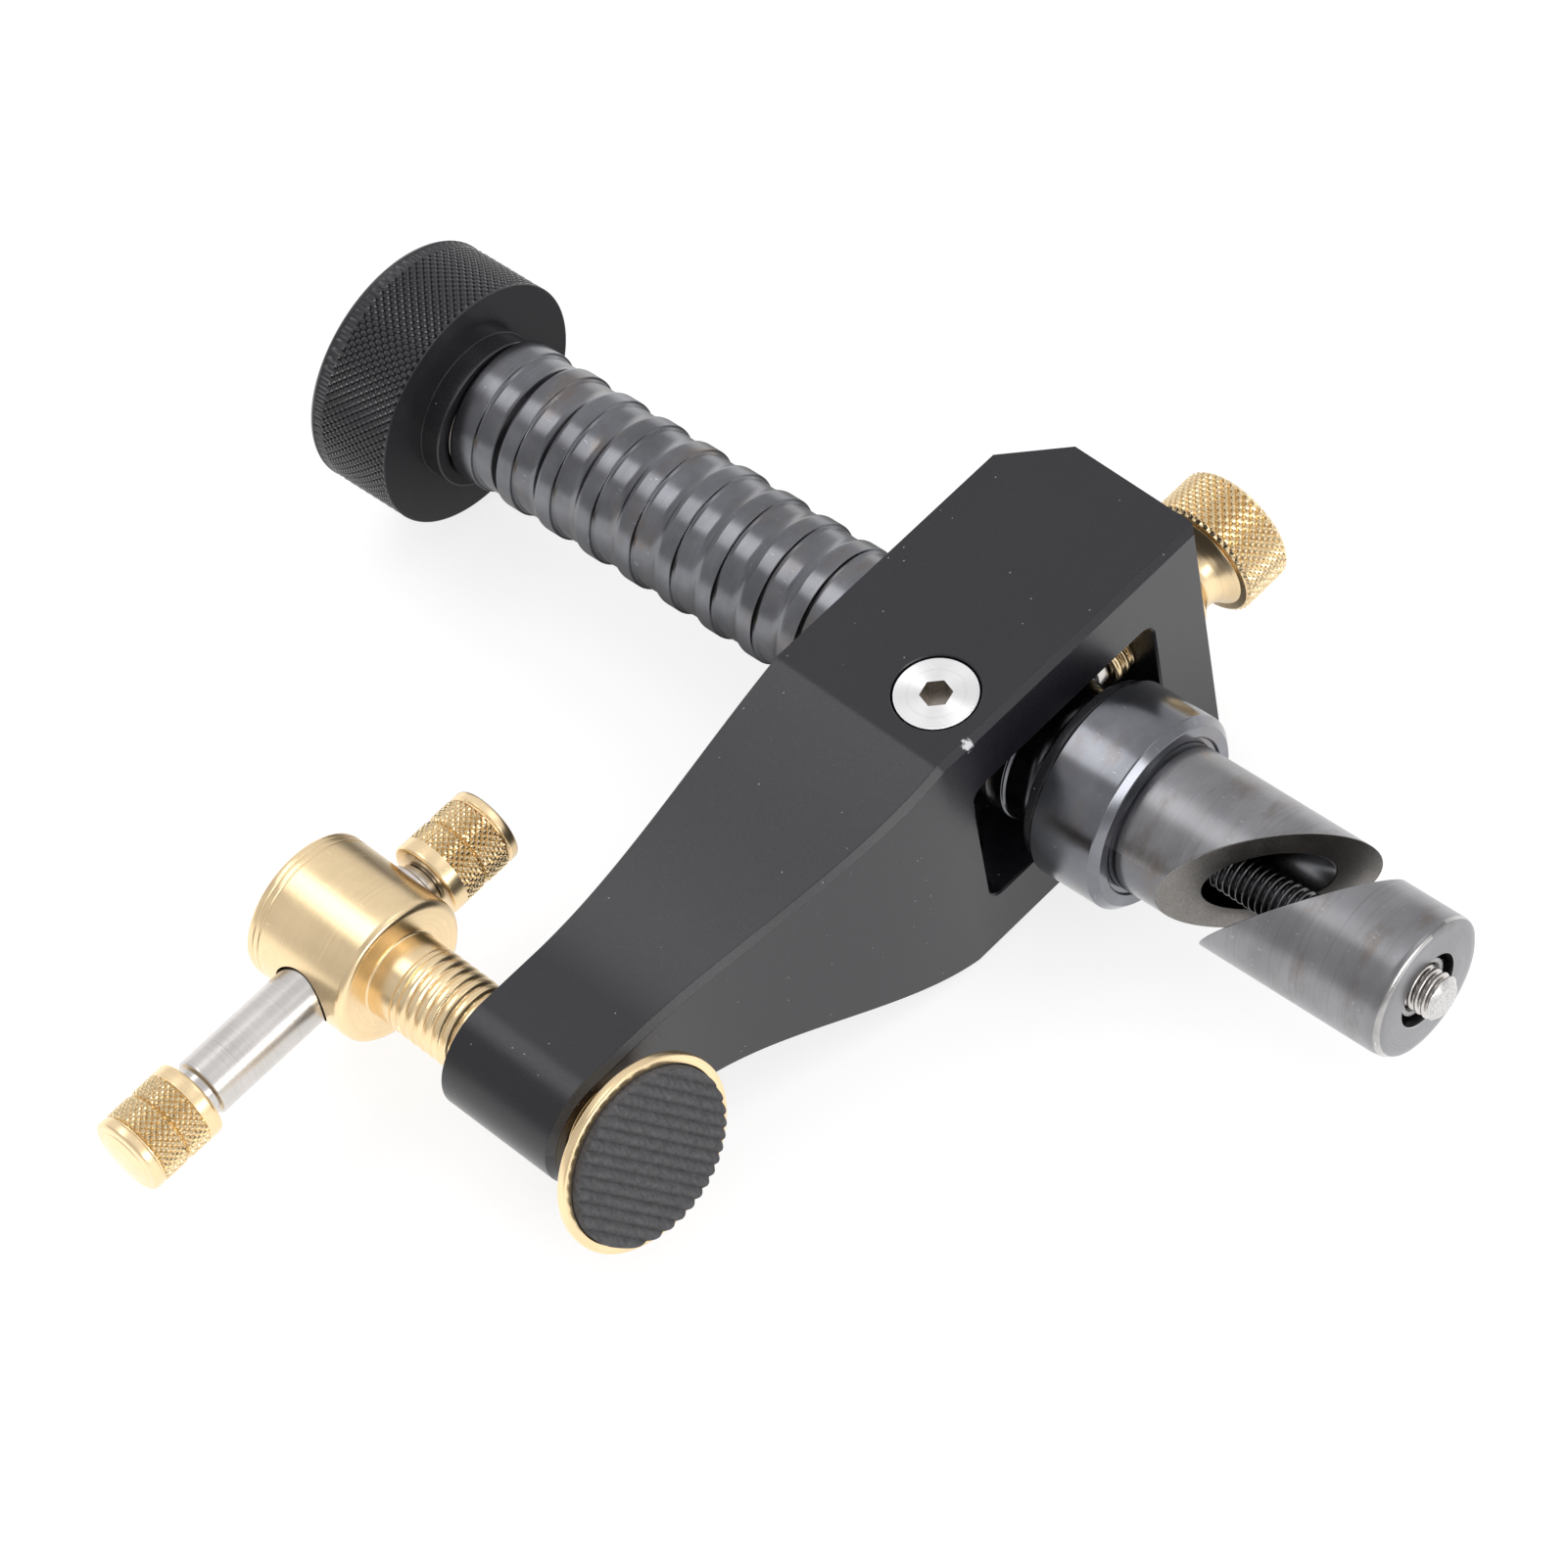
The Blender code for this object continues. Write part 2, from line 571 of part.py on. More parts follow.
def clamp_spindle(mat):
    """Clamp screw turned in one: cross-bored head, thread and grooved stub."""
    clip_low = PIVOT_X - 0.5 * CLIP_THICK - 0.5 * FIT
    clip_high = PIVOT_X + 0.5 * CLIP_THICK + 0.5 * FIT
    groove = STUB_RADIUS - CLIP_BITE - FIT
    stub_end = PIVOT_X + STUB_PAST
    thread_end = TIP_BOTTOM + SHANK_SHOWS
    thread_start = HEAD_BOTTOM + PLAIN_SHANK
    small_edge = 0.3 * HEAD_EDGE
    top_edge = 0.5 * HEAD_EDGE
    profile = [
        (HEAD_TOP, 0.0), (HEAD_TOP, HEAD_RADIUS - top_edge), (HEAD_TOP + top_edge, HEAD_RADIUS),
        (HEAD_BOTTOM - HEAD_EDGE, HEAD_RADIUS), (HEAD_BOTTOM - small_edge, HEAD_RADIUS - small_edge),
        (HEAD_BOTTOM, HEAD_RADIUS - HEAD_EDGE), (HEAD_BOTTOM, SHANK_RADIUS), (thread_start, SHANK_RADIUS),
        (thread_start, THREAD_RADIUS), (thread_end, THREAD_RADIUS), (thread_end, STUB_RADIUS),
        (clip_low, STUB_RADIUS), (clip_low, groove), (clip_high, groove), (clip_high, STUB_RADIUS),
        (stub_end, STUB_RADIUS), (stub_end, 0.0),
    ]
    obj = add_object("clamp_spindle", lathe(profile, "X", MEDIUM_TURN), mat, (0, -REACH, 0), lean())
    hole = rod_body(-2 * HEAD_RADIUS, 2 * HEAD_RADIUS, BAR_RADIUS + FIT, "Y", MEDIUM_TURN)
    cut(obj, hole, (BAR_X, 0, 0))
    return soften(obj)


def sliding_bar(mat):
    """Steel bar with a neck and a thinner pin at each end."""
    half = 0.5 * BAR_LENGTH
    steps = [
        (half - BAR_EDGE, BAR_RADIUS), (half, BAR_RADIUS - BAR_EDGE), (half, NECK_RADIUS),
        (half + NECK_LENGTH, NECK_RADIUS), (half + NECK_LENGTH, PIN_RADIUS),
        (half + NECK_LENGTH + PIN_LENGTH, PIN_RADIUS), (half + NECK_LENGTH + PIN_LENGTH, 0.0),
    ]
    profile = [(BAR_SLID - a, r) for a, r in reversed(steps)] + [(BAR_SLID + a, r) for a, r in steps]
    body = lathe(profile, "Y", SMALL_TURN)
    return soften(add_object("sliding_bar", body, mat, (BAR_X, -REACH, 0), lean()))


def bar_knob(name, way, mat):
    """Brass end knob, bored for the pin, with a low dome on its far end."""
    start = BAR_SLID + way * (0.5 * BAR_LENGTH + NECK_LENGTH + FIT)
    radius = TIP_KNOB_RADIUS
    edge = TIP_KNOB_EDGE
    small_edge = 0.3 * edge
    length = TIP_KNOB_LENGTH
    middle = TIP_KNOB_MIDDLE
    groove = TIP_KNOB_GROOVE
    hole = PIN_RADIUS + FIT
    steps = [
        (PIN_LENGTH, 0.0), (PIN_LENGTH, hole), (0.0, hole), (0.0, radius - edge),
        (small_edge, radius - small_edge), (edge, radius), (middle - groove, radius),
        (middle, radius - groove), (middle + groove, radius), (length - edge, radius),
        (length - small_edge, radius - small_edge), (length, radius - 2 * edge),
        (length + 0.7 * TIP_KNOB_DOME, 0.5 * radius), (length + TIP_KNOB_DOME, 0.0),
    ]
    profile = [(start + way * a, r) for a, r in steps]
    return soften(add_object(name, lathe(profile, "Y", MEDIUM_TURN), mat, (BAR_X, -REACH, 0), lean()))


def swivel_clip(mat):
    """Flat clip in the groove of the stub, which keeps the pad on."""
    half = 0.5 * CLIP_THICK
    body = ring_body(PIVOT_X - half, PIVOT_X + half, STUB_RADIUS - CLIP_BITE, CLIP_RADIUS, "X", SMALL_TURN)
    return soften(add_object("swivel_clip", body, mat, (0, -REACH, 0), lean()))


def pad_turn():
    """Tilt of the pad about its pivot, then the lean of the arm."""
    pivot = Matrix.Translation(Vector((PIVOT_X, -REACH, 0)))
    return lean() @ pivot @ Matrix.Rotation(-PAD_TILT, 4, "Y")


def pad_cup(mat):
    """Brass cup with a pocket for the clip and a seat for the ribbed face."""
    back = -CUP_BEHIND
    inner = back + CUP_FLOOR
    hole = STUB_RADIUS + TILT_ROOM
    pocket = CLIP_RADIUS + POCKET_ROOM
    seat = FACE_RADIUS + FIT
    lip = 0.3 * CUP_RIM
    profile = [
        (back, hole), (back, CUP_BACK_RADIUS), (CUP_AHEAD - CUP_EDGE_THICK, CUP_RADIUS - lip),
        (CUP_AHEAD - CUP_EDGE_THICK + lip, CUP_RADIUS), (CUP_AHEAD - lip, CUP_RADIUS),
        (CUP_AHEAD, CUP_RADIUS - lip), (CUP_AHEAD, seat),
        (FACE_BACK - FIT, seat), (FACE_BACK - FIT, pocket), (inner, pocket), (inner, hole),
    ]
    return soften(add_object("pad_cup", lathe(profile, "X"), mat, (0, 0, 0), pad_turn()))


def rib_comb():
    """Row of wedge bars that cut the grooves between the ribs."""
    comb = bmesh.new()
    pitch = 2 * FACE_RADIUS / RIB_COUNT
    long = 1.2 * FACE_RADIUS
    half = 0.45 * pitch
    low = FACE_FRONT - RIB_DEPTH
    high = FACE_FRONT + RIB_DEPTH
    for k in range(1, RIB_COUNT):
        z = k * pitch - FACE_RADIUS
        ends = [[comb.verts.new((x, y, z + dz)) for x, dz in ((low, 0.0), (high, half), (high, -half))]
                for y in (-long, long)]
        comb.faces.new(ends[0])
        comb.faces.new(reversed(ends[1]))
        for i in range(3):
            comb.faces.new((ends[0][i], ends[0][i - 1], ends[1][i - 1], ends[1][i]))
    bmesh.ops.rotate(comb, verts=comb.verts, cent=(0, 0, 0), matrix=Matrix.Rotation(RIB_TURN, 3, "X"))
    return comb


def pad_face(mat):
    """Round face with straight ribs across it."""
    body = rod_body(FACE_BACK, FACE_FRONT, FACE_RADIUS, "X")
    obj = add_object("pad_face", body, mat, (0, 0, 0), pad_turn())
    cut(obj, rib_comb())
    return obj


def lock_tip(mat):
    """Steel tip piece that the thumb screw presses on the post."""
    edge = LOCK_TIP_EDGE
    back = LOCK_TIP_END + LOCK_TIP_LENGTH
    peg_end = back + LOCK_PEG_LENGTH
    profile = [
        (LOCK_TIP_END, 0.0), (LOCK_TIP_END, LOCK_TIP_RADIUS - edge), (LOCK_TIP_END + edge, LOCK_TIP_RADIUS),
        (back, LOCK_TIP_RADIUS), (back, LOCK_PEG_RADIUS), (peg_end, LOCK_PEG_RADIUS), (peg_end, 0.0),
    ]
    return soften(add_object("lock_tip", lathe(profile, "Y", SMALL_TURN), mat, (LOCK_X, 0, 0), lean()))


def lock_screw(mat):
    """Brass thumb screw with a hollow flared neck and a wide disc."""
    front = LOCK_TIP_END + LOCK_TIP_LENGTH + FIT
    hole = LOCK_PEG_RADIUS + FIT
    peg_room = front + LOCK_PEG_LENGTH
    flange_end = LOCK_FOOT + LOCK_FLANGE_THICK
    knob_end = LOCK_KNOB_START + LOCK_KNOB_WIDTH
    small_edge = 0.3 * LOCK_EDGE
    profile = [
        (peg_room, 0.0), (peg_room, hole), (front, hole), (front, LOCK_THREAD), (LOCK_FOOT, LOCK_THREAD),
        (LOCK_FOOT, LOCK_FLANGE), (flange_end, LOCK_FLANGE),
    ]
    for k in range(1, 6):
        t = k / 5
        dip = LOCK_NECK + (LOCK_FLARE - LOCK_NECK) * (1.8 * t - 0.8) ** 2
        profile.append((flange_end + LOCK_NECK_LENGTH * t, dip))
    profile += [
        (LOCK_KNOB_START + small_edge, LOCK_KNOB_RADIUS - 2 * small_edge),
        (LOCK_KNOB_START + LOCK_EDGE, LOCK_KNOB_RADIUS), (knob_end - LOCK_EDGE, LOCK_KNOB_RADIUS),
        (knob_end - small_edge, LOCK_KNOB_RADIUS - small_edge), (knob_end, LOCK_KNOB_RADIUS - LOCK_EDGE),
        (knob_end, 0.0),
    ]
    return soften(add_object("lock_screw", lathe(profile, "Y", MEDIUM_TURN), mat, (LOCK_X, 0, 0), lean()))


def main():
    for obj in list(bpy.data.objects):
        bpy.data.objects.remove(obj, do_unlink=True)
    steel = make_material("gunmetal_steel", (0.16, 0.165, 0.18), 1.0, 0.32)
    bright = make_material("stainless_steel", (0.62, 0.61, 0.60), 1.0, 0.28)
    oxide = make_material("black_oxide_steel", (0.06, 0.06, 0.062), 0.9, 0.4)
    black = make_material("black_anodised_aluminium", (0.035, 0.036, 0.04), 0.55, 0.42)
    brass = make_material("brass", (0.80, 0.61, 0.32), 1.0, 0.28)
    rubber = make_material("dark_rubber", (0.035, 0.035, 0.037), 0.0, 0.85)

    base = post(steel)
    stop = bumper_washer(rubber)
    hang(collar(steel), base)
    hang(stop, base)

    washer = thrust_washer(bright)
    hand_knob = knob(black)
    hang(washer, base)
    rod = draw_rod(oxide)
    hang(hand_knob, washer)
    hang(knob_bush(brass), hand_knob)
    hang(rod, washer)
    hang(wedge_nose(steel), rod)
    hang(nose_nut(bright), rod)

    catch = catch_screw(bright)
    clamp_arm = arm(black)
    tip = lock_tip(bright)
    hang(catch, stop)
    hang(clamp_arm, catch)
    hang(tip, clamp_arm)
    hang(lock_screw(brass), tip)

    clip = swivel_clip(bright)
    spindle = clamp_spindle(brass)
    bar = sliding_bar(bright)
    hang(clip, clamp_arm)
    hang(spindle, clip)
    hang(bar, spindle)
    hang(bar_knob("bar_knob_front", -1, brass), bar)
    hang(bar_knob("bar_knob_rear", 1, brass), bar)
    cup = pad_cup(brass)
    hang(cup, clip)
    hang(pad_face(rubber), cup)


main()
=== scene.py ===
import math

import bmesh
import bpy
import numpy as np
from mathutils import Matrix, Vector


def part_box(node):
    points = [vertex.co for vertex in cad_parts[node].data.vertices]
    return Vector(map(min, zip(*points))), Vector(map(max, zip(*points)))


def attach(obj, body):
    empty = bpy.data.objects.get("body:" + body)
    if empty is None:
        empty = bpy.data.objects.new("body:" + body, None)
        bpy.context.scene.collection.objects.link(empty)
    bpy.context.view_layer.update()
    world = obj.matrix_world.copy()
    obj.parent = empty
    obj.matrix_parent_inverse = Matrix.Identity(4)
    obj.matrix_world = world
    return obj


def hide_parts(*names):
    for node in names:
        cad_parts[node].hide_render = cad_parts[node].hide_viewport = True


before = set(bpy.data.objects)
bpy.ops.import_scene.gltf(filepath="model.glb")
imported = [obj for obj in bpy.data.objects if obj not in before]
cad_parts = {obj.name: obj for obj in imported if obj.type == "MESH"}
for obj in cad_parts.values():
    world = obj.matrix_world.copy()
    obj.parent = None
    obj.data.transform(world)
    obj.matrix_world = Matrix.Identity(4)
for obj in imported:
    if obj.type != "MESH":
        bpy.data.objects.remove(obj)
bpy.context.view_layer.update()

MM = 0.001

# Sizes in millimetres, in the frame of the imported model: the post lies along X, the nose at +X
ARM_LEAN = math.radians(-2.6)
ROD_DROP = 1.3
SLOPE = math.tan(math.radians(44.0))
BARREL_TWIST = math.radians(5.0)
NOSE_TWIST = math.radians(40.0)
# Rounding of plain edges, clearance between fitted pieces, reach of a cutting tool past a face
EDGE = 0.12
GAP = 0.3
PAST = 2.0

# Post, collar and washer
POST_TOP = -109.3
POST_FOOT = -9.6
LAND = 9.95
NOTCH_FIRST = 3.8
NOTCH_PITCH = 6.77
# One notch: distance from its edge, depth and rounding of each corner
NOTCH_LINE = (
    (0.0, 0.0, 0.12), (0.1, 0.3, 0.06), (0.42, 0.52, 0.1),
    (2.9, 0.56, 0.35), (3.6, 0.4, 0.4), (4.4, 0.0, 0.3),
)
BARREL = 10.0
BARREL_END = 16.2
BORE = 5.9
# Toward the oblique cut the bore's rows slope with it, and from here up they are square
BORE_SQUARE = -30.0
COLLAR = 13.4
COLLAR_TOP = -10.2
COLLAR_HOLE = 10.02
COLLAR_CHAMFER = 1.0
RELIEF = 10.9
RELIEF_DEPTH = 0.45
BUMPER = 12.5
BUMPER_HOLE = 10.0
BUMPER_CREASE = 11.6
BUMPER_BACK = -10.5
BUMPER_FRONT = -11.8

# Draw rod, nose, nut and knob
KNOB = 17.1
KNOB_BACK = -126.0
KNOB_FRONT = -112.6
HUB = 10.3
HUB_FRONT = -109.6
WASHER_BACK = -110.6
WASHER = 8.2
BUSH = 5.5
BUSH_LENGTH = 9.0
KNOB_WALL = 2.2
KNOB_COUNT = 84
KNOB_KNURL_DEPTH = 0.5

ROD = 3.0
ROD_TOP = -118.5
ROD_END = 43.9
ROD_CHAMFER = 0.7
ROD_PITCH = 1.0
ROD_THREAD_START = -13.0
ROD_THREAD_DEPTH = 0.5
NOSE = 9.7
NOSE_MIDDLE = 22.1
NOSE_END = 41.3
NOSE_HOLE = 3.3
RECESS = 5.0
RECESS_FLOOR = 36.1
NUT = 5.0
NUT_APOTHEM = 4.0
NUT_CHAMFER = 0.45
NUT_LOW = 36.4
NUT_HIGH = 40.4

# Arm and catch screw
ARM_BOTTOM = -14.2
ARM_TOP = -41.6
BLOCK_HALF = 20.7
BLOCK_REAR = 24.8
REAR_SLOPE = 7.1
BEND = -20.884
REACH = 74.7
TAPER = 44.716
TIP_RADIUS = 8.8
TIP_BOTTOM = -22.9
LOWER_CHAMFER = 0.9
ARM_SKIN = 0.25
SLOT_REAR = 15.3
SLOT_FRONT = -17.184
SLOT_HALF = 11.2
SLOT_ROUND = 2.2
CATCH_X = -22.5
CATCH_Y = -13.134
CATCH = 2.0
CATCH_HEAD = 5.3
CATCH_LIP = 0.5
CATCH_LOW = -15.3
CATCH_TOP = 20.55
SOCKET_APOTHEM = 1.8
SOCKET_DEPTH = 2.2
SOCKET_TURN = math.radians(15)

# Clamp screw, sliding bar and pad
HEAD = 10.1
HEAD_TOP = -74.0
HEAD_BOTTOM = -57.4
SHANK = 5.8
THREAD = 5.9
THREAD_START = -53.2
THREAD_END = -22.3
THREAD_PITCH = 1.5
THREAD_DEPTH = 0.4
THREAD_PLAY = 0.12
STUB = 3.0
BAR_X = -64.7
BAR = 4.0
BAR_HALF = 18.5
BAR_SLID = -8.55
NECK = 3.1
NECK_LENGTH = 1.1
PIN = 2.5
PIN_LENGTH = 7.5
TIP_KNOB = 5.3
TIP_KNOB_LENGTH = 11.2
TIP_KNOB_GROOVE = 5.6
TIP_KNOB_PLAIN = 2.1
TIP_KNOB_BAND = 1.6
TIP_KNOB_COUNT = 34
TIP_KNURL_DEPTH = 0.42
PIVOT_X = -17.65
PIVOT_HALF = 0.55
CLIP = 4.5
CLIP_BITE = 0.7
CLIP_HALF = 0.4
PAD_TILT = math.radians(10.5)
CUP = 13.1
CUP_BACK = -2.95
CUP_FRONT = 2.15
FACE = 11.75
FACE_BACK = 1.35
FACE_FRONT = 3.45
SEAT = 6.4
RIBS = 15
RIB_DEPTH = 0.5
RIB_TURN = math.radians(-55.0)

# Thumb screw behind the block
LOCK_X = -22.5
LOCK_TIP_END = 9.639
LOCK_TIP = 2.9
LOCK_TIP_LENGTH = 2.2
LOCK_PEG = 1.4
LOCK_PEG_LENGTH = 2.5
LOCK_THREAD = 3.9
LOCK_PITCH = 1.25
LOCK_THREAD_DEPTH = 0.45
LOCK_FOOT = 25.3
LOCK_FLANGE = 6.2
LOCK_FLANGE_THICK = 0.9
LOCK_NECK = 5.0
LOCK_FLARE = 7.0
LOCK_KNOB = 8.4
LOCK_KNOB_START = 31.7
LOCK_KNOB_END = 39.3
LOCK_KNOB_COUNT = 42
LOCK_KNURL_DEPTH = 0.55
LOCK_KNURL_SHARE = 0.65

# The camera stands as the photograph's did: where it is and which ways its sides point, in metres
CAMERA_PLACE = (0.35374, -0.34371, 0.69315)
CAMERA_RIGHT = (0.75061, 0.64825, -0.12791)
CAMERA_UP = (-0.47507, 0.66401, 0.57741)
CAMERA_BACK = (0.45924, -0.37264, 0.80637)
LENS = 161.38
SENSOR = 36.0
# Each lamp: the way to it, its distance and sides in metres, and its power
LAMPS = {
    "key": ((-0.459, -0.10, 0.88), 0.9, (0.50, 0.28), 0.95),
    "side": ((0.35, 0.45, 0.82), 1.0, (0.40, 0.40), 0.5),
    "edge": ((0.86, -0.10, 0.40), 1.0, (0.80, 0.22), 3.0),
}
LAMP_AIM = (-0.04, -0.02, 0.0)
# Tone of the room across Y, from front to back
ROOM_FRONT = (0.6, 0.6, 0.61, 1.0)
ROOM_BACK = (0.85, 0.85, 0.86, 1.0)
ROOM_STEPS = ((0.2, 0.82), (0.33, 0.55), (0.45, 0.85), (0.7, 1.0))

# Angles in degrees past which an edge is sharp: turned faces, carved faces, the nut and knurls
SHARP = 42.0
CRISP = 30.0
HEX_SHARP = 31.0
KNURL_SHARP = 24.0
# Segments round the large bright pieces
FINE_TURN = 160


def shift(x, y, z):
    return Matrix.Translation(Vector((x, y, z)) * MM)


# Places of the turned pieces, each with its axis along its own X
QUARTER = math.pi / 2
LEAN = Matrix.Rotation(ARM_LEAN, 4, "Z")
ON_POST = Matrix.Identity(4)
ON_ROD = shift(0, -ROD_DROP, 0)
ON_SPINDLE = LEAN @ shift(0, -REACH, 0)
ON_BAR = LEAN @ shift(BAR_X, -REACH, 0) @ Matrix.Rotation(QUARTER, 4, "Z")
ON_LOCK = LEAN @ shift(LOCK_X, 0, 0) @ Matrix.Rotation(QUARTER, 4, "Z")
ON_CATCH = LEAN @ shift(CATCH_X, CATCH_Y, 0) @ Matrix.Rotation(-QUARTER, 4, "Y")
ON_PAD = LEAN @ shift(PIVOT_X, -REACH, 0) @ Matrix.Rotation(-PAD_TILT, 4, "Y")


def rounded(points, edge=EDGE, steps=4):
    """Line of (along, radius, tilt) rows with its corners rounded; a fourth number is a corner's own size."""
    rows = [np.array((*p, 0.0)[:3]) for p in points]
    sizes = [p[3] if len(p) > 3 else edge for p in points]
    out = [rows[0]]
    for before, here, after, size in zip(rows, rows[1:], rows[2:], sizes[1:]):
        back, ahead = before - here, after - here
        back_length, ahead_length = np.linalg.norm(back[:2]), np.linalg.norm(ahead[:2])
        reach = min(size, 0.45 * back_length, 0.45 * ahead_length)
        if reach < 0.005:
            out.append(here)
            continue
        first = here + back * reach / back_length
        last = here + ahead * reach / ahead_length
        for t in np.linspace(0.0, 1.0, steps):
            out.append((1 - t) ** 2 * first + 2 * t * (1 - t) * here + t ** 2 * last)
    out.append(rows[-1])
    return np.array(out)


def band(start, end, step, radius):
    """Close plain rows from start to end, for a thread or a knurl."""
    first = math.ceil(min(start, end) / step)
    last = math.floor(max(start, end) / step)
    return [(k * step, radius, 0.0, 0.0) for k in range(first, last + 1)]


def spin(rows, segments, slope=0.0, twist=0.0):
    """Grid of along, radius and angle; the rows' tilt slopes the surface along the oblique plane."""
    turn = np.linspace(0.0, 2 * math.pi, segments, endpoint=False)[None, :]
    radius = rows[:, 1:2] + 0.0 * turn
    along = rows[:, 0:1] + rows[:, 2:3] * slope * radius * np.cos(turn - twist)
    return along, radius, turn + 0.0 * radius


def knurled(grid, start, end, count, depth, pitch, share=0.5):
    """Press two crossing families of V grooves in between start and end, deepest where they cross."""
    along, radius, turn = grid
    around = turn / (2 * math.pi) * count
    ahead = along / pitch

    def groove_at(t):
        return np.clip(1.0 - 2.9 * np.abs(t - np.round(t)), 0.0, 1.0)

    cut = share * groove_at(around + ahead) + (1.0 - share) * groove_at(around - ahead)
    inside = (along > start) & (along < end)
    return along, radius - depth * cut * inside, turn


def threaded(grid, start, end, pitch, depth, major, narrow=1.5):
    """Cut a right-handed thread between start and end; a higher narrow leaves wider crests."""
    along, radius, turn = grid
    fade = np.clip((along - start) / pitch, 0.0, 1.0)
    valley = (0.5 - 0.5 * np.cos(2 * math.pi * along / pitch - turn)) ** narrow
    cut = np.minimum(radius, major - depth * valley * fade)
    return along, np.where((along > start) & (along < end), cut, radius), turn


def hexed(grid, apothem):
    """Limit the radius to a hexagon."""
    along, radius, turn = grid
    side = apothem / np.cos(turn % (math.pi / 3) - math.pi / 6)
    return along, np.minimum(radius, side), turn


def as_object(name, bm, place, sharp):
    """Turn a body, given in millimetres about its own place, into an object with clean shading."""
    bmesh.ops.scale(bm, vec=(MM, MM, MM), verts=bm.verts)
    bmesh.ops.remove_doubles(bm, verts=bm.verts, dist=0.002 * MM)
    bmesh.ops.recalc_face_normals(bm, faces=bm.faces)
    mesh = bpy.data.meshes.new(name)
    bm.to_mesh(mesh)
    bm.free()
    obj = bpy.data.objects.new(name, mesh)
    bpy.context.scene.collection.objects.link(obj)
    obj.matrix_world = place
    mesh.shade_smooth()
    mesh.set_sharp_from_angle(angle=math.radians(sharp))
    return obj


def turned(name, grid, place, sharp=SHARP):
    """Closed body from a grid; below CRISP its quads are split along the lower diagonal, for a knurl."""
    along, radius, turn = grid
    rows, columns = radius.shape
    spots = np.stack((along, radius * np.cos(turn), radius * np.sin(turn)), axis=-1)
    bm = bmesh.new()
    verts = [bm.verts.new(spot) for spot in spots.reshape(-1, 3)]
    crisp = sharp < CRISP
    for i in range(rows - 1):
        for j in range(columns):
            m = (j + 1) % columns
            quad = [(i, j), (i, m), (i + 1, m), (i + 1, j)]
            corners = [verts[p * columns + q] for p, q in quad]
            if not crisp:
                bm.faces.new(corners)
                continue
            heights = [radius[p, q] for p, q in quad]
            first = 0 if heights[0] + heights[2] <= heights[1] + heights[3] else 1
            a, b, c, d = corners[first:] + corners[:first]
            bm.faces.new((a, b, c))
            bm.faces.new((a, c, d))
    obj = as_object(name, bm, place, sharp)
    if not crisp:
        obj.modifiers.new("normals", "WEIGHTED_NORMAL").keep_sharp = True
    return obj


def lathe(name, points, place, segments=128):
    return turned(name, spin(rounded(points), segments), place)


def ring(name, low, high, inner, outer, place):
    return lathe(name, [(low, inner), (low, outer), (high, outer), (high, inner), (low, inner)], place)


def prism(name, outline, levels, place):
    """Body between levels of (height along X, outset) of one (y, z) outline."""
    bm = bmesh.new()
    rings = []
    for height, outset in levels:
        spots = []
        for i, (y, z) in enumerate(outline):
            (y0, z0), (y1, z1) = outline[i - 1], outline[(i + 1) % len(outline)]
            out = Vector((z1 - z0, y0 - y1)).normalized() * outset
            spots.append(bm.verts.new((height, y + out.x, z + out.y)))
        rings.append(spots)
    for lower, upper in zip(rings, rings[1:]):
        for i in range(len(outline)):
            bm.faces.new((lower[i - 1], lower[i], upper[i], upper[i - 1]))
    bm.faces.new(rings[0])
    bm.faces.new(rings[-1])
    return as_object(name, bm, place, SHARP)


def carve(obj, tools):
    """Cut the tools out of the object and keep the result as its mesh."""
    obj.modifiers.clear()
    for tool in tools:
        modifier = obj.modifiers.new("cut", "BOOLEAN")
        modifier.operation = "DIFFERENCE"
        modifier.solver = "EXACT"
        modifier.object = tool
    bpy.context.view_layer.update()
    depsgraph = bpy.context.evaluated_depsgraph_get()
    mesh = bpy.data.meshes.new_from_object(obj.evaluated_get(depsgraph))
    obj.modifiers.clear()
    obj.data = mesh
    for tool in tools:
        bpy.data.objects.remove(tool, do_unlink=True)
    mesh.shade_smooth()
    mesh.set_sharp_from_angle(angle=math.radians(CRISP))
    obj.modifiers.new("normals", "WEIGHTED_NORMAL").keep_sharp = True
    return obj


# Materials
def node(tree, kind, inputs=None, **settings):
    made = tree.nodes.new(kind)
    for key, value in settings.items():
        setattr(made, key, value)
    for key, value in (inputs or {}).items():
        if isinstance(value, bpy.types.NodeSocket):
            tree.links.new(value, made.inputs[key])
        else:
            made.inputs[key].default_value = value
    return made


def start_material(name, **values):
    """Principled material and the place on the piece in its own frame."""
    mat = bpy.data.materials.new(name)
    mat.use_nodes = True
    tree = mat.node_tree
    shader = tree.nodes["Principled BSDF"]
    for key, value in values.items():
        shader.inputs[key.replace("_", " ")].default_value = value
    spot = node(tree, "ShaderNodeTexCoord").outputs["Object"]
    return mat, tree, shader, spot


def noise(tree, spot, scale, detail=3.0, rough=0.5):
    """Noise whose grain has the given frequency, per metre, along each axis."""
    placed = node(tree, "ShaderNodeMapping", {"Vector": spot, "Scale": scale}).outputs["Vector"]
    return node(tree, "ShaderNodeTexNoise",
                {"Vector": placed, "Scale": 1.0, "Detail": detail, "Roughness": rough}).outputs["Fac"]


def spread(tree, value, low, high, to_low=0.0, to_high=1.0):
    return node(tree, "ShaderNodeMapRange",
                {"Value": value, "From Min": low, "From Max": high, "To Min": to_low, "To Max": to_high}
                ).outputs["Result"]


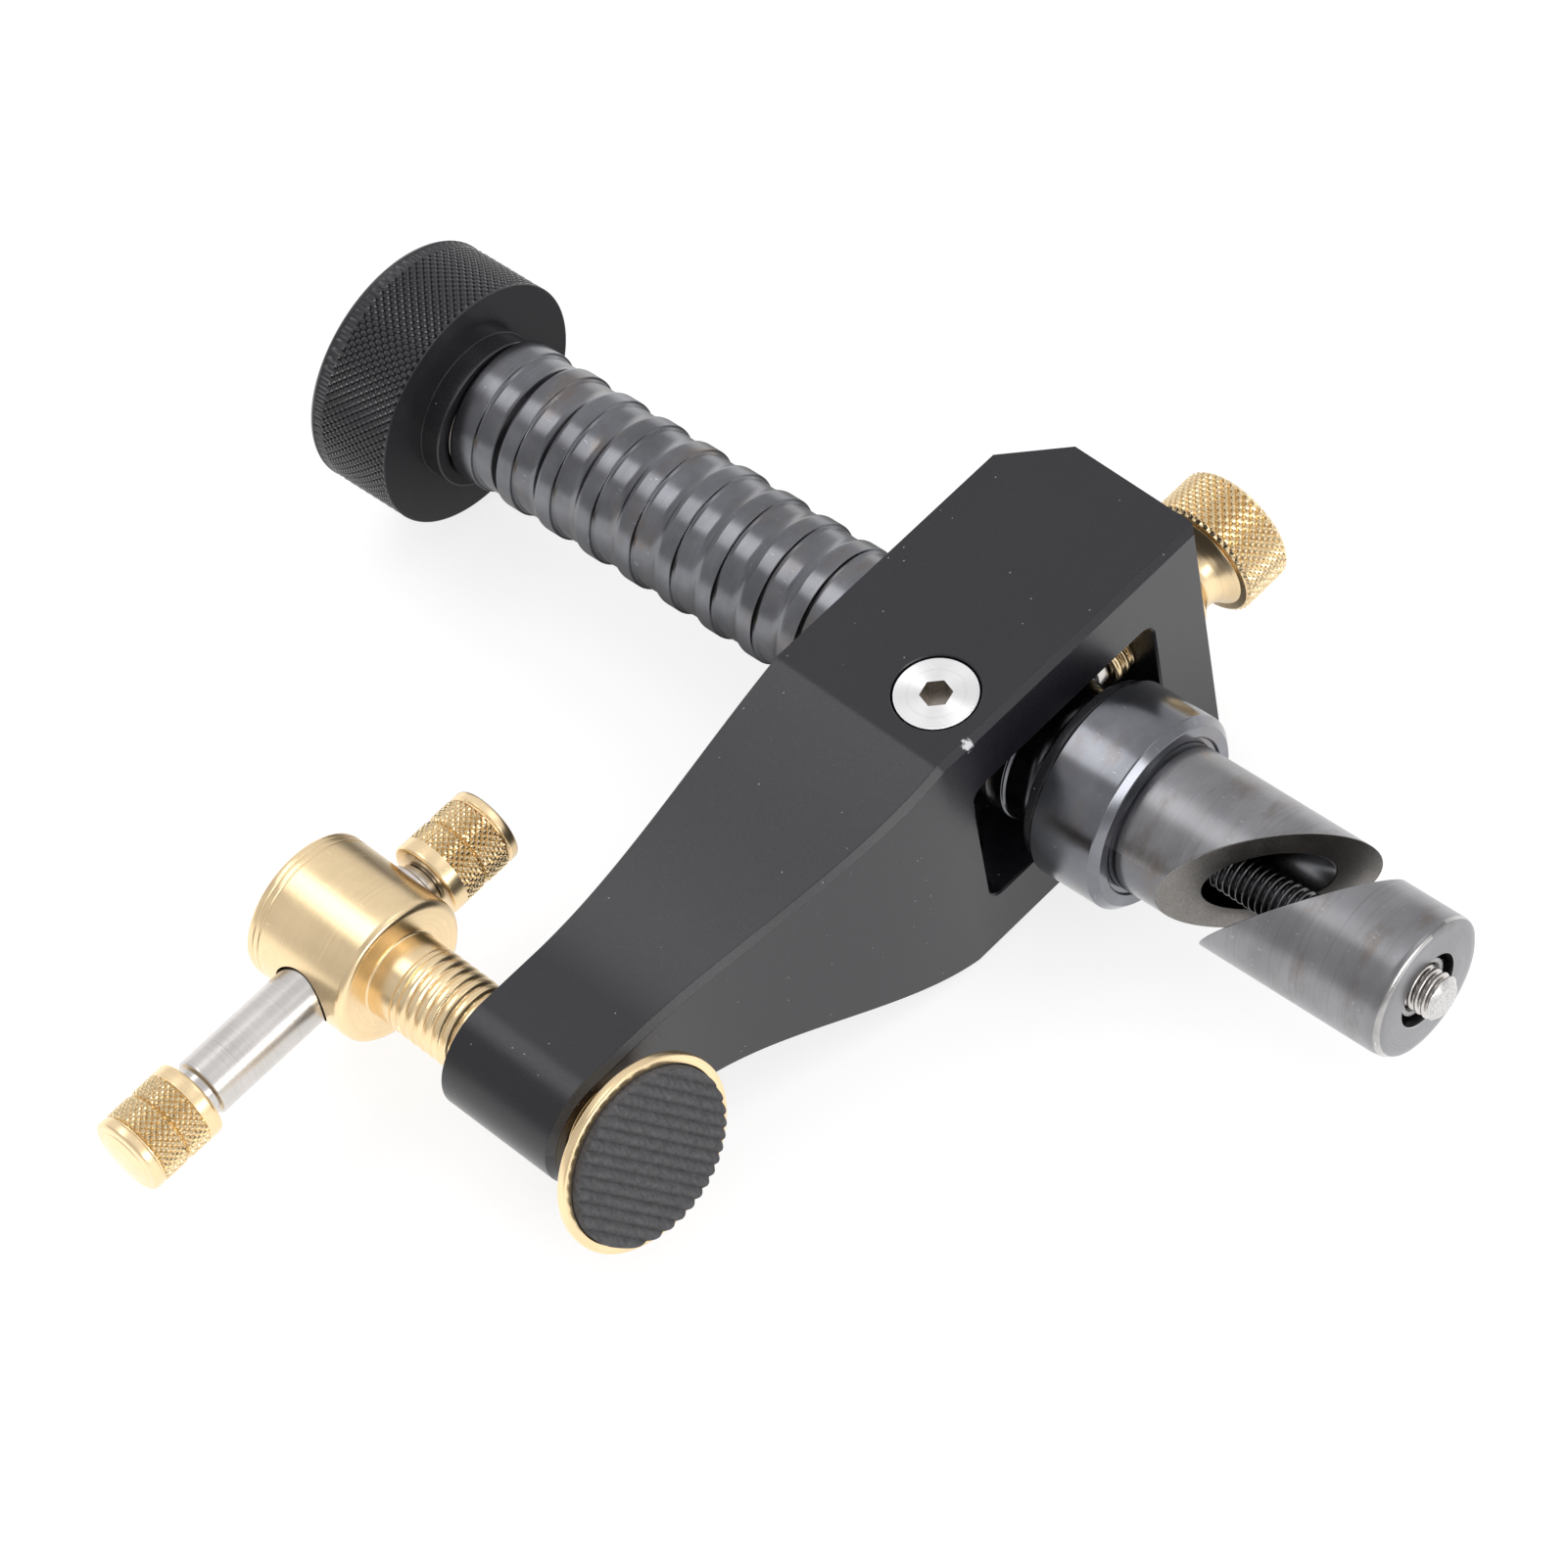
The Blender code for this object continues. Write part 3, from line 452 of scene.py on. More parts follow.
def blend(tree, factor, first, second):
    mixed = node(tree, "ShaderNodeMix", {"Factor": factor}, data_type="RGBA")
    for socket, colour in ((mixed.inputs[6], first), (mixed.inputs[7], second)):
        if isinstance(colour, bpy.types.NodeSocket):
            tree.links.new(colour, socket)
        else:
            socket.default_value = (*colour, 1.0)
    return mixed.outputs[2]


def add_bump(tree, shader, height, distance):
    made = node(tree, "ShaderNodeBump", {"Height": height, "Distance": distance, "Strength": 1.0})
    tree.links.new(made.outputs["Normal"], shader.inputs["Normal"])


def ring_place(tree, spot, pitch):
    """Place that changes quickly along the axis and along the radius, and slowly round the axis."""
    parts = node(tree, "ShaderNodeSeparateXYZ", {"Vector": spot}).outputs
    flat = node(tree, "ShaderNodeCombineXYZ", {"X": parts["Y"], "Y": parts["Z"]}).outputs["Vector"]
    radius = node(tree, "ShaderNodeVectorMath", {0: flat}, operation="LENGTH").outputs["Value"]
    both = node(tree, "ShaderNodeCombineXYZ", {"X": parts["X"], "Y": radius}).outputs["Vector"]
    slow = node(tree, "ShaderNodeVectorMath", {0: spot, "Scale": 14.0}, operation="SCALE").outputs["Vector"]
    quick = 1.0 / (pitch * MM)
    return node(tree, "ShaderNodeVectorMath", {0: both, 1: (quick, quick, quick), 2: slow},
                operation="MULTIPLY_ADD").outputs["Vector"]


def turned_metal(name, colour, rough, pitch=0.09, depth=0.0012, stain=0.12, sheen=0.35, lines=0.1,
                 tint=None):
    """Bright metal with fine rings from the lathe, faint stains and short scratches."""
    mat, tree, shader, spot = start_material(name, Metallic=1.0, Anisotropic=sheen)
    rings = noise(tree, ring_place(tree, spot, pitch), (1.0, 1.0, 1.0), 3.0, 0.6)
    broad = noise(tree, spot, (150.0, 110.0, 110.0), 3.0, 0.55)
    marks = noise(tree, spot, (900.0, 5200.0, 350.0), 2.0, 0.4)
    scratch = spread(tree, marks, 0.71, 0.75)
    darker = tuple(c * (1.0 - stain) for c in colour)
    ringed = tuple(c * (1.0 - 3.0 * lines) for c in colour)
    lighter = tuple(min(1.0, c * 1.12 + 0.03) for c in colour)
    base = blend(tree, spread(tree, broad, 0.38, 0.62), darker, colour)
    base = blend(tree, spread(tree, rings, 0.5, 0.75, 0.0, 0.5), base, ringed)
    if tint is not None:
        patches = noise(tree, spot, (230.0, 90.0, 90.0), 4.0, 0.65)
        base = blend(tree, spread(tree, patches, 0.54, 0.68, 0.0, 0.6), base, tint)
    tree.links.new(blend(tree, scratch, base, lighter), shader.inputs["Base Color"])
    tree.links.new(spread(tree, broad, 0.3, 0.7, rough * 0.9, rough * 1.12), shader.inputs["Roughness"])
    tangent = node(tree, "ShaderNodeTangent", direction_type="RADIAL", axis="X")
    tree.links.new(tangent.outputs["Tangent"], shader.inputs["Tangent"])
    add_bump(tree, shader, rings, depth * MM)
    return mat


def ground_metal(name, colour, rough, depth=0.012):
    """Metal with a fine speckled face, as left by a saw or a grinding wheel."""
    mat, tree, shader, spot = start_material(name, Metallic=1.0)
    grain = noise(tree, spot, (4200.0, 4200.0, 4200.0), 2.0, 0.6)
    broad = noise(tree, spot, (260.0, 260.0, 260.0), 3.0, 0.6)
    dark = tuple(c * 0.68 for c in colour)
    tree.links.new(blend(tree, spread(tree, grain, 0.35, 0.65), dark, colour), shader.inputs["Base Color"])
    tree.links.new(spread(tree, broad, 0.3, 0.7, rough * 0.9, rough * 1.15), shader.inputs["Roughness"])
    add_bump(tree, shader, grain, depth * MM)
    return mat


def anodised(name, colour, rough, chip=None):
    """Satin black skin with a very fine grain, specks of dust and, on the arm, one small chip."""
    mat, tree, shader, spot = start_material(name)
    grain = noise(tree, spot, (4600.0, 4600.0, 4600.0), 3.0, 0.7)
    broad = noise(tree, spot, (120.0, 120.0, 120.0), 3.0, 0.5)
    lighter = tuple(c * 1.25 for c in colour)
    base = blend(tree, spread(tree, broad, 0.3, 0.75), colour, lighter)
    base = blend(tree, spread(tree, grain, 0.5, 0.75, 0.0, 0.8), base, tuple(c * 2.6 for c in colour))
    cells = node(tree, "ShaderNodeTexVoronoi", {"Vector": spot, "Scale": 620.0, "Randomness": 1.0})
    near = spread(tree, cells.outputs["Distance"], 0.035, 0.075, 1.0, 0.0)
    few = node(tree, "ShaderNodeSeparateColor", {"Color": cells.outputs["Color"]}).outputs["Red"]
    some = spread(tree, few, 0.66, 0.68)
    dust = node(tree, "ShaderNodeMath", {0: near, 1: some}, operation="MULTIPLY").outputs["Value"]
    base = blend(tree, spread(tree, dust, 0.0, 1.0, 0.0, 0.55), base, (0.55, 0.55, 0.56))
    if chip is not None:
        place = tuple(c * MM for c in chip)
        away = node(tree, "ShaderNodeVectorMath", {0: spot, 1: place}, operation="DISTANCE")
        ragged = noise(tree, spot, (1900.0, 1900.0, 1900.0), 4.0, 0.75)
        edge = node(tree, "ShaderNodeMath", {0: ragged, 1: 0.0032, 2: away.outputs["Value"]},
                    operation="MULTIPLY_ADD").outputs["Value"]
        base = blend(tree, spread(tree, edge, 0.0021, 0.0024, 1.0, 0.0), base, (0.62, 0.62, 0.64))
    tree.links.new(base, shader.inputs["Base Color"])
    tree.links.new(spread(tree, grain, 0.3, 0.7, rough * 0.85, rough * 1.2), shader.inputs["Roughness"])
    add_bump(tree, shader, grain, 0.006 * MM)
    return mat


def rubber(name, colour):
    """Matte rubber with a fibrous grain along its ribs."""
    mat, tree, shader, spot = start_material(name)
    fibres = noise(tree, spot, (1500.0, 1900.0, 900.0), 4.0, 0.7)
    broad = noise(tree, spot, (300.0, 300.0, 300.0), 3.0, 0.6)
    lighter = tuple(c * 2.2 for c in colour)
    base = blend(tree, spread(tree, fibres, 0.35, 0.75), colour, lighter)
    tree.links.new(base, shader.inputs["Base Color"])
    tree.links.new(spread(tree, broad, 0.3, 0.7, 0.66, 0.85), shader.inputs["Roughness"])
    add_bump(tree, shader, fibres, 0.06 * MM)
    return mat


CHIP = (-14.4, -16.2, 20.3)
RUST = (0.17, 0.14, 0.12)
STEEL = turned_metal("gunmetal_steel", (0.205, 0.21, 0.23), 0.19, stain=0.25, lines=0.06, tint=RUST)
NOTCHED = turned_metal("notched_steel", (0.175, 0.178, 0.192), 0.21, depth=0.002, stain=0.3, lines=0.12,
                       tint=RUST)
BRUSHED = turned_metal("brushed_barrel", (0.27, 0.27, 0.28), 0.3, 0.2, 0.006, stain=0.2, lines=0.16,
                       tint=RUST)
WORN = turned_metal("worn_rim", (0.52, 0.51, 0.50), 0.26, pitch=0.2, depth=0.004, stain=0.45)
SAWN = ground_metal("sawn_steel", (0.235, 0.222, 0.207), 0.45, 0.03)
BRIGHT = turned_metal("stainless_steel", (0.60, 0.575, 0.55), 0.26, pitch=0.12, depth=0.002, stain=0.1)
ROD_FACE = ground_metal("rod_end_face", (0.62, 0.61, 0.60), 0.32)
SCREW_FACE = turned_metal("turned_screw_face", (0.86, 0.85, 0.845), 0.34, pitch=0.12, stain=0.06,
                          sheen=0.9)
# Painted shade: the walls and floor of the hex socket get a darker, browner steel than the screw's face.
SOCKET_PAINTED_SHADE = ground_metal("socket_painted_shade", (0.42, 0.38, 0.34), 0.4)
NUT_STEEL = ground_metal("nut_steel", (0.34, 0.335, 0.33), 0.25, 0.004)
OXIDE = turned_metal("black_oxide_steel", (0.12, 0.12, 0.125), 0.22, stain=0.3)
BRASS = turned_metal("brass", (0.88, 0.68, 0.41), 0.26, pitch=0.18, depth=0.0025, stain=0.1, lines=0.09)
KNURL_BRASS = ground_metal("brass_knurl", (0.90, 0.70, 0.42), 0.2, 0.002)
BLACK = anodised("black_anodised_aluminium", (0.0062, 0.0062, 0.0088), 0.31, CHIP)
# Painted highlight: the lower chamfers past the bend get a lighter black than the faces, standing in for the
# light they catch.
BLACK_CHAMFER_HIGHLIGHT = anodised("black_chamfer_painted_highlight", (0.03, 0.03, 0.032), 0.32, CHIP)
BLACK_KNURL = anodised("black_knurl", (0.014, 0.014, 0.016), 0.2)
RUBBER = rubber("dark_rubber", (0.055, 0.054, 0.056))


def dress(obj, body, nodes, mats):
    """Give a piece its materials, hang it on the body it rides on and hide the model parts it stands for."""
    obj.data.materials.clear()
    for mat in mats:
        obj.data.materials.append(mat)
    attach(obj, body)
    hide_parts(*nodes)
    return obj


def paint(obj, index, test):
    """Give the faces whose middle and normal pass the test the material at index."""
    for face in obj.data.polygons:
        if test(face.center / MM, face.normal):
            face.material_index = index


# Post, collar and washer
def post_line():
    points = [(POST_TOP, BORE), (POST_TOP, LAND, 0.0, 0.4)]
    edge = POST_TOP + NOTCH_FIRST
    while edge + NOTCH_LINE[-1][0] < COLLAR_TOP:
        points += [(edge + ahead, LAND - depth, 0.0, corner) for ahead, depth, corner in NOTCH_LINE]
        edge += NOTCH_PITCH
    return points + [
        (POST_FOOT, LAND), (POST_FOOT + 0.1, BARREL), (BARREL_END, BARREL, 1.0, 0.16),
        (BARREL_END, BORE, 1.0, 0.12), (BORE_SQUARE, BORE), (POST_TOP, BORE),
    ]


def make_post():
    grid = spin(rounded(post_line()), FINE_TURN, SLOPE, BARREL_TWIST)
    post = turned("notched_post", grid, ON_POST)
    dress(post, "post", ["post"], [NOTCHED, BRUSHED, SAWN])
    paint(post, 1, lambda middle, normal: middle.x > -COLLAR_CHAMFER and abs(normal.x) < 0.2)
    paint(post, 2, lambda middle, normal: middle.x > -COLLAR_CHAMFER and normal.x > 0.5)


def make_collar():
    points = [
        (COLLAR_TOP, COLLAR_HOLE), (COLLAR_TOP, COLLAR, 0.0, 0.35), (-COLLAR_CHAMFER, COLLAR, 0.0, 0.15),
        (0.0, COLLAR - COLLAR_CHAMFER, 0.0, 0.15), (0.0, RELIEF, 0.0, 0.1),
        (-RELIEF_DEPTH, RELIEF - 0.2, 0.0, 0.1), (-RELIEF_DEPTH - 0.05, COLLAR_HOLE),
        (COLLAR_TOP, COLLAR_HOLE),
    ]
    collar = lathe("bench_collar_ring", points, ON_POST, FINE_TURN)
    dress(collar, "post", ["bench_collar"], [STEEL])


def make_bumper():
    crease = [(BUMPER_FRONT, BUMPER_CREASE + 0.1, 0.0, 0.05), (BUMPER_FRONT + 0.08, BUMPER_CREASE, 0.0, 0.05),
              (BUMPER_FRONT, BUMPER_CREASE - 0.1, 0.0, 0.05)]
    points = [(BUMPER_BACK, BUMPER_HOLE), (BUMPER_BACK, BUMPER, 0.0, 0.2), (BUMPER_FRONT, BUMPER, 0.0, 0.2)]
    points += crease + [(BUMPER_FRONT, BUMPER_HOLE), (BUMPER_BACK, BUMPER_HOLE)]
    washer = lathe("stop_washer_ring", points, ON_POST)
    dress(washer, "stop_washer", ["bumper_washer"], [BLACK_KNURL])


# Draw rod, nose, nut and knob
def make_rod():
    tip = ROD_CHAMFER
    points = [(ROD_TOP, 0.0), (ROD_TOP, ROD - tip), (ROD_TOP + tip, ROD)]
    points += band(ROD_THREAD_START - ROD_PITCH, ROD_END - tip, ROD_PITCH / 14, ROD)
    points += [(ROD_END - tip + 0.1, ROD - 0.1), (ROD_END, ROD - tip - 0.1, 0.0, 0.1), (ROD_END, 0.0)]
    grid = spin(rounded(points), 64)
    grid = threaded(grid, ROD_THREAD_START, ROD_END - 0.05, ROD_PITCH, ROD_THREAD_DEPTH, ROD)
    rod = turned("threaded_rod", grid, ON_ROD)
    dress(rod, "draw_rod", ["draw_rod"], [OXIDE, BRIGHT, ROD_FACE])
    paint(rod, 1, lambda middle, normal: middle.x > NOSE_END - 2.0)
    paint(rod, 2, lambda middle, normal: middle.x > ROD_END - 1.0 and normal.x > 0.5)


def make_nose():
    points = [
        (NOSE_MIDDLE, NOSE_HOLE, 1.0), (NOSE_MIDDLE, NOSE, 1.0, 0.18), (NOSE_END, NOSE, 0.0, 1.5),
        (NOSE_END, RECESS, 0.0, 0.25), (RECESS_FLOOR, RECESS), (RECESS_FLOOR, NOSE_HOLE),
        (NOSE_MIDDLE, NOSE_HOLE, 1.0),
    ]
    grid = spin(rounded(points), FINE_TURN, SLOPE, NOSE_TWIST)
    nose = turned("nose_wedge", grid, ON_ROD)
    dress(nose, "nose", ["wedge_nose"], [BRUSHED, SAWN, WORN])
    paint(nose, 1, lambda middle, normal: normal.x < -0.3)
    paint(nose, 2, lambda middle, normal: middle.x > NOSE_END - 2.0 and 0.35 < normal.x < 0.85)


def make_nut():
    flat = NUT_APOTHEM * 0.98
    hole = ROD + 0.1
    points = [
        (NUT_LOW, hole), (NUT_LOW, flat), (NUT_LOW + NUT_CHAMFER, NUT), (NUT_HIGH - NUT_CHAMFER, NUT),
        (NUT_HIGH, flat), (NUT_HIGH, hole + 0.3), (NUT_HIGH - 0.4, hole), (NUT_LOW, hole),
    ]
    grid = hexed(spin(rounded(points, 0.05), 96), NUT_APOTHEM)
    nut = turned("hex_nut", grid, ON_ROD, sharp=HEX_SHARP)
    dress(nut, "draw_rod", ["nose_nut"], [NUT_STEEL])


def make_knob():
    pitch = 2 * math.pi * KNOB / KNOB_COUNT
    pocket, seat = KNOB_BACK + KNOB_WALL, WASHER_BACK - GAP
    points = [(KNOB_BACK, 0.0), (KNOB_BACK, KNOB, 0.0, 2.0)]
    points += band(KNOB_BACK + 2.05, KNOB_FRONT - 0.5, pitch / 4, KNOB)
    points += [
        (KNOB_FRONT - 0.1, KNOB - 0.02, 0.0, 0.05), (KNOB_FRONT, KNOB - 0.2, 0.0, 0.08),
        (KNOB_FRONT, HUB, 0.0, 0.1), (HUB_FRONT, HUB, 0.0, 0.3), (HUB_FRONT, WASHER + GAP),
        (seat, WASHER + GAP), (seat, BUSH + GAP), (pocket, BUSH + GAP), (pocket, 0.0),
    ]
    grid = spin(rounded(points, steps=8), 4 * KNOB_COUNT)
    grid = knurled(grid, KNOB_BACK + 0.9, KNOB_FRONT - 0.35, KNOB_COUNT, KNOB_KNURL_DEPTH, pitch)
    knob = turned("draw_knob_body", grid, ON_ROD, sharp=KNURL_SHARP)
    dress(knob, "draw_knob", ["knob"], [BLACK_KNURL])


def make_bush_and_washer():
    front = WASHER_BACK - 2 * GAP
    bush = ring("knob_bush_body", front - BUSH_LENGTH, front, ROD + GAP, BUSH, ON_ROD)
    dress(bush, "draw_knob", ["knob_bush"], [BRASS])
    washer = ring("thrust_washer_body", WASHER_BACK, HUB_FRONT, ROD + GAP, WASHER, ON_ROD)
    dress(washer, "rod_washer", ["thrust_washer"], [BRIGHT])


# Arm and catch screw
def arm_width(y):
    if y >= BEND:
        return BLOCK_HALF
    if y < -REACH:
        return math.sqrt(max(0.0, TIP_RADIUS ** 2 - (y + REACH) ** 2))
    t = min((BEND - y) / TAPER, 1.0)
    return BLOCK_HALF + (TIP_RADIUS - BLOCK_HALF) * (t + t ** 2 - t ** 3)


def arm_floor(y):
    t = min(max((BEND - y) / TAPER, 0.0), 1.0)
    return ARM_BOTTOM + (TIP_BOTTOM - ARM_BOTTOM) * (3 * t ** 2 - 2 * t ** 3)


def arm_roof(y):
    return ARM_TOP + max(0.0, y - (BLOCK_REAR - REAR_SLOPE))


def arm_outline():
    """Closed outline of the arm, seen along X, with the middle of its tip once."""
    steps, end_steps = 56, 28
    ys = [BLOCK_REAR, BLOCK_REAR - REAR_SLOPE, BEND]
    ys += [BEND - TAPER * k / steps for k in range(1, steps + 1)]
    ys += [-REACH - TIP_RADIUS * math.sin(QUARTER * k / end_steps) for k in range(end_steps)]
    half = [(y, arm_width(y)) for y in ys]
    return half + [(-REACH - TIP_RADIUS, 0.0)] + [(y, -z) for y, z in reversed(half)]


def inset(outline, amount):
    """The same outline moved inward, corner by corner."""
    count = len(outline)
    moved = []
    for i, (y, z) in enumerate(outline):
        before, after = Vector(outline[i - 1]), Vector(outline[(i + 1) % count])
        here = Vector((y, z))
        first, second = (here - before).normalized(), (after - here).normalized()
        normals = Vector((first.y, -first.x)), Vector((second.y, -second.x))
        middle = (normals[0] + normals[1]).normalized()
        moved.append(here - middle * amount / max(0.35, middle.dot(normals[0])))
    return [(p.x, p.y) for p in moved]


def cap(bm, verts):
    """Close one end of the arm with a row of quads from side to side."""
    count = len(verts)
    for i in range(count // 2):
        corners = (verts[i], verts[i + 1], verts[count - 2 - i], verts[count - 1 - i])
        mates = list(dict.fromkeys(corners))
        if len(mates) > 2:
            bm.faces.new(mates)


def arm_block():
    """The arm before its holes are cut: rings of its outline from the roof down to the floor."""
    outline = arm_outline()
    if inset(outline, 1.0)[0][0] > outline[0][0]:
        outline.reverse()
    skin, chamfer = ARM_SKIN, LOWER_CHAMFER
    levels = [
        (arm_roof, 0.0, 2 * skin), (arm_roof, 0.3 * skin, skin), (arm_roof, skin, 0.0),
        (arm_floor, -chamfer - skin, 0.0), (arm_floor, -chamfer, 0.12 * skin),
        (arm_floor, -0.12 * skin, chamfer - 0.4 * skin), (arm_floor, 0.0, chamfer),
    ]
    bm = bmesh.new()
    rings = []
    for height, rise, inward in levels:
        moved = inset(outline, inward) if inward else outline
        rings.append([bm.verts.new((height(y0) + rise, y, z)) for (y, z), (y0, _) in zip(moved, outline)])
    for lower, upper in zip(rings, rings[1:]):
        for i in range(len(outline)):
            bm.faces.new((lower[i - 1], lower[i], upper[i], upper[i - 1]))
    cap(bm, rings[0])
    cap(bm, rings[-1])
    return as_object("clamp_arm", bm, LEAN, CRISP)


def slot_tool():
    outline = []
    corners = ((SLOT_REAR, SLOT_HALF), (SLOT_FRONT, SLOT_HALF), (SLOT_FRONT, -SLOT_HALF),
               (SLOT_REAR, -SLOT_HALF))
    for quarter, (y, z) in enumerate(corners):
        for k in range(9):
            t = (quarter + k / 8) * QUARTER
            outline.append((y - math.copysign(SLOT_ROUND, y) + SLOT_ROUND * math.cos(t),
                            z - math.copysign(SLOT_ROUND, z) + SLOT_ROUND * math.sin(t)))
    flare = ARM_SKIN
    levels = [(ARM_TOP - PAST, PAST + flare), (ARM_TOP + flare, 0.0),
              (ARM_BOTTOM - flare, 0.0), (ARM_BOTTOM + PAST, PAST + flare)]
    return prism("slot_tool", outline, levels, LEAN)


def bore_tool():
    bore, flare = THREAD + THREAD_PLAY, 0.4
    points = [
        (ARM_TOP - PAST, 0.0), (ARM_TOP - PAST, bore + PAST + flare), (ARM_TOP + flare, bore, 0.0, 0.0),
        (TIP_BOTTOM - flare, bore, 0.0, 0.0), (TIP_BOTTOM + PAST, bore + PAST + flare),
        (TIP_BOTTOM + PAST, 0.0),
    ]
    return lathe("bore_tool", points, ON_SPINDLE, 96)


def lock_tool():
    bore, flare, start = LOCK_THREAD + THREAD_PLAY, 0.3, 0.5 * SLOT_REAR
    points = [(start, 0.0), (start, bore), (BLOCK_REAR - flare, bore, 0.0, 0.0),
              (BLOCK_REAR + PAST, bore + PAST + flare), (BLOCK_REAR + PAST, 0.0)]
    return lathe("lock_tool", points, ON_LOCK, 64)


def catch_tool():
    wide, thin, lip = CATCH_HEAD + 0.25, CATCH + GAP, CATCH_TOP - CATCH_LIP
    points = [
        (CATCH_LOW - GAP, 0.0), (CATCH_LOW - GAP, thin), (lip - (wide - thin), thin, 0.0, 0.0),
        (lip, wide, 0.0, 0.0), (BLOCK_HALF - 0.15, wide, 0.0, 0.0), (BLOCK_HALF + PAST, wide + PAST),
        (BLOCK_HALF + PAST, 0.0),
    ]
    return lathe("catch_tool", points, ON_CATCH, 96)


def make_arm():
    arm = arm_block()
    tools = [slot_tool(), bore_tool(), lock_tool(), catch_tool()]
    for tool in tools:
        tool.modifiers.clear()
    dress(carve(arm, tools), "arm", ["arm"], [BLACK, BLACK_CHAMFER_HIGHLIGHT])
    # Lower chamfers past the bend take the lighter black: a painted highlight.
    paint(arm, 1, lambda middle, normal: middle.y < BEND and 0.4 < normal.x < 0.9 and abs(normal.z) > 0.2)


def make_catch_screw():
    lip = CATCH_TOP - CATCH_LIP
    points = [
        (CATCH_LOW, 0.0), (CATCH_LOW, CATCH, 0.0, 0.3), (lip - (CATCH_HEAD - CATCH), CATCH),
        (lip, CATCH_HEAD, 0.0, 0.1), (CATCH_TOP, CATCH_HEAD, 0.0, 0.18), (CATCH_TOP, 0.0),
    ]
    screw = lathe("socket_screw", points, ON_CATCH)
    reach = SOCKET_APOTHEM / math.cos(math.pi / 6)
    turns = [SOCKET_TURN + k * math.pi / 3 for k in range(6)]
    hexagon = [(reach * math.cos(a), reach * math.sin(a)) for a in turns]
    levels = [(CATCH_TOP - SOCKET_DEPTH, 0.0), (CATCH_TOP + PAST, 0.0)]
    socket = prism("socket_tool", hexagon, levels, ON_CATCH)
    dress(carve(screw, [socket]), "catch_screw", ["catch_screw"], [SCREW_FACE, SOCKET_PAINTED_SHADE])
    # Walls and floor of the hex socket take the darker steel: painted shade in the recess.
    paint(screw, 1, lambda middle, normal: 15.0 < middle.x < CATCH_TOP - 0.1 and middle.yz.length < 2.2)


# Clamp screw, sliding bar and pad
def groove(at, radius, depth=0.16, half=0.14):
    return [(at - half, radius, 0.0, 0.03), (at, radius - depth, 0.0, 0.06), (at + half, radius, 0.0, 0.03)]


def make_clamp_screw():
    points = [(HEAD_TOP, 0.0), (HEAD_TOP, HEAD, 0.0, 0.5)]
    points += groove(HEAD_TOP + 1.1, HEAD) + groove(HEAD_TOP + 2.0, HEAD)
    points += [(HEAD_BOTTOM, HEAD, 0.0, 1.1), (HEAD_BOTTOM, SHANK, 0.0, 0.3)]
    points += [(THREAD_START - 0.4, SHANK, 0.0, 0.1)]
    points += band(THREAD_START, THREAD_END - 0.5, THREAD_PITCH / 16, THREAD)
    back, front, end = PIVOT_X - PIVOT_HALF, PIVOT_X + PIVOT_HALF, PIVOT_X + PIVOT_HALF + 0.1
    points += [
        (THREAD_END, THREAD - 0.5), (THREAD_END, STUB), (back, STUB), (back, STUB - 1.0),
        (front, STUB - 1.0), (front, STUB), (end, STUB), (end, 0.0),
    ]
    grid = spin(rounded(points), 128)
    grid = threaded(grid, THREAD_START, THREAD_END, THREAD_PITCH, THREAD_DEPTH, THREAD, 3.0)
    spindle = turned("clamp_screw_body", grid, ON_SPINDLE)
    half, wide = 14.0, BAR + GAP
    hole = lathe("hole_tool", [(-half, 0.0), (-half, wide), (half, wide), (half, 0.0)], ON_BAR, 72)
    dress(carve(spindle, [hole]), "clamp_screw", ["clamp_spindle"], [BRASS])


def make_clip():
    back, front = PIVOT_X - CLIP_HALF, PIVOT_X + CLIP_HALF
    clip = ring("swivel_clip_ring", back, front, STUB - CLIP_BITE, CLIP, ON_SPINDLE)
    dress(clip, "swivel_clip", ["swivel_clip"], [BRIGHT])


def make_bar():
    neck_end = BAR_HALF + NECK_LENGTH
    half = [(BAR_HALF, BAR, 0.0, 0.4), (BAR_HALF, NECK), (neck_end, NECK), (neck_end, PIN),
            (neck_end + PIN_LENGTH, PIN), (neck_end + PIN_LENGTH, 0.0)]
    points = [(BAR_SLID - p[0], *p[1:]) for p in reversed(half)] + [(BAR_SLID + p[0], *p[1:]) for p in half]
    bar = lathe("sliding_bar_body", points, ON_BAR)
    dress(bar, "sliding_bar", ["sliding_bar"], [BRIGHT])


def tip_knob_line(near, far, step):
    """Half section of an end knob: plain band, two knurled bands with a groove between them, domed end."""
    end = TIP_KNOB_LENGTH
    points = [(PIN_LENGTH, 0.0), (PIN_LENGTH, PIN + GAP), (0.0, PIN + GAP), (0.0, TIP_KNOB, 0.0, 0.6)]
    points += [(near, TIP_KNOB, 0.0, 0.02)] + band(near + 0.1, TIP_KNOB_GROOVE - 0.4, step, TIP_KNOB)
    points += groove(TIP_KNOB_GROOVE, TIP_KNOB - 0.2, 0.4, 0.2)
    points += band(TIP_KNOB_GROOVE + 0.4, far - 0.1, step, TIP_KNOB)
    return points + [
        (far, TIP_KNOB - 0.3, 0.0, 0.04), (far + 0.2, TIP_KNOB - 0.3, 0.0, 0.04),
        (far + 0.35, TIP_KNOB - 0.05, 0.0, 0.1), (end, TIP_KNOB - 0.1, 0.0, 0.75),
        (end + 0.12, 4.15, 0.0, 0.05), (end + 0.04, 4.05, 0.0, 0.05), (end + 0.2, 3.9, 0.0, 0.1),
        (end + 0.55, 2.2, 0.0, 1.0), (end + 0.65, 0.0),
    ]


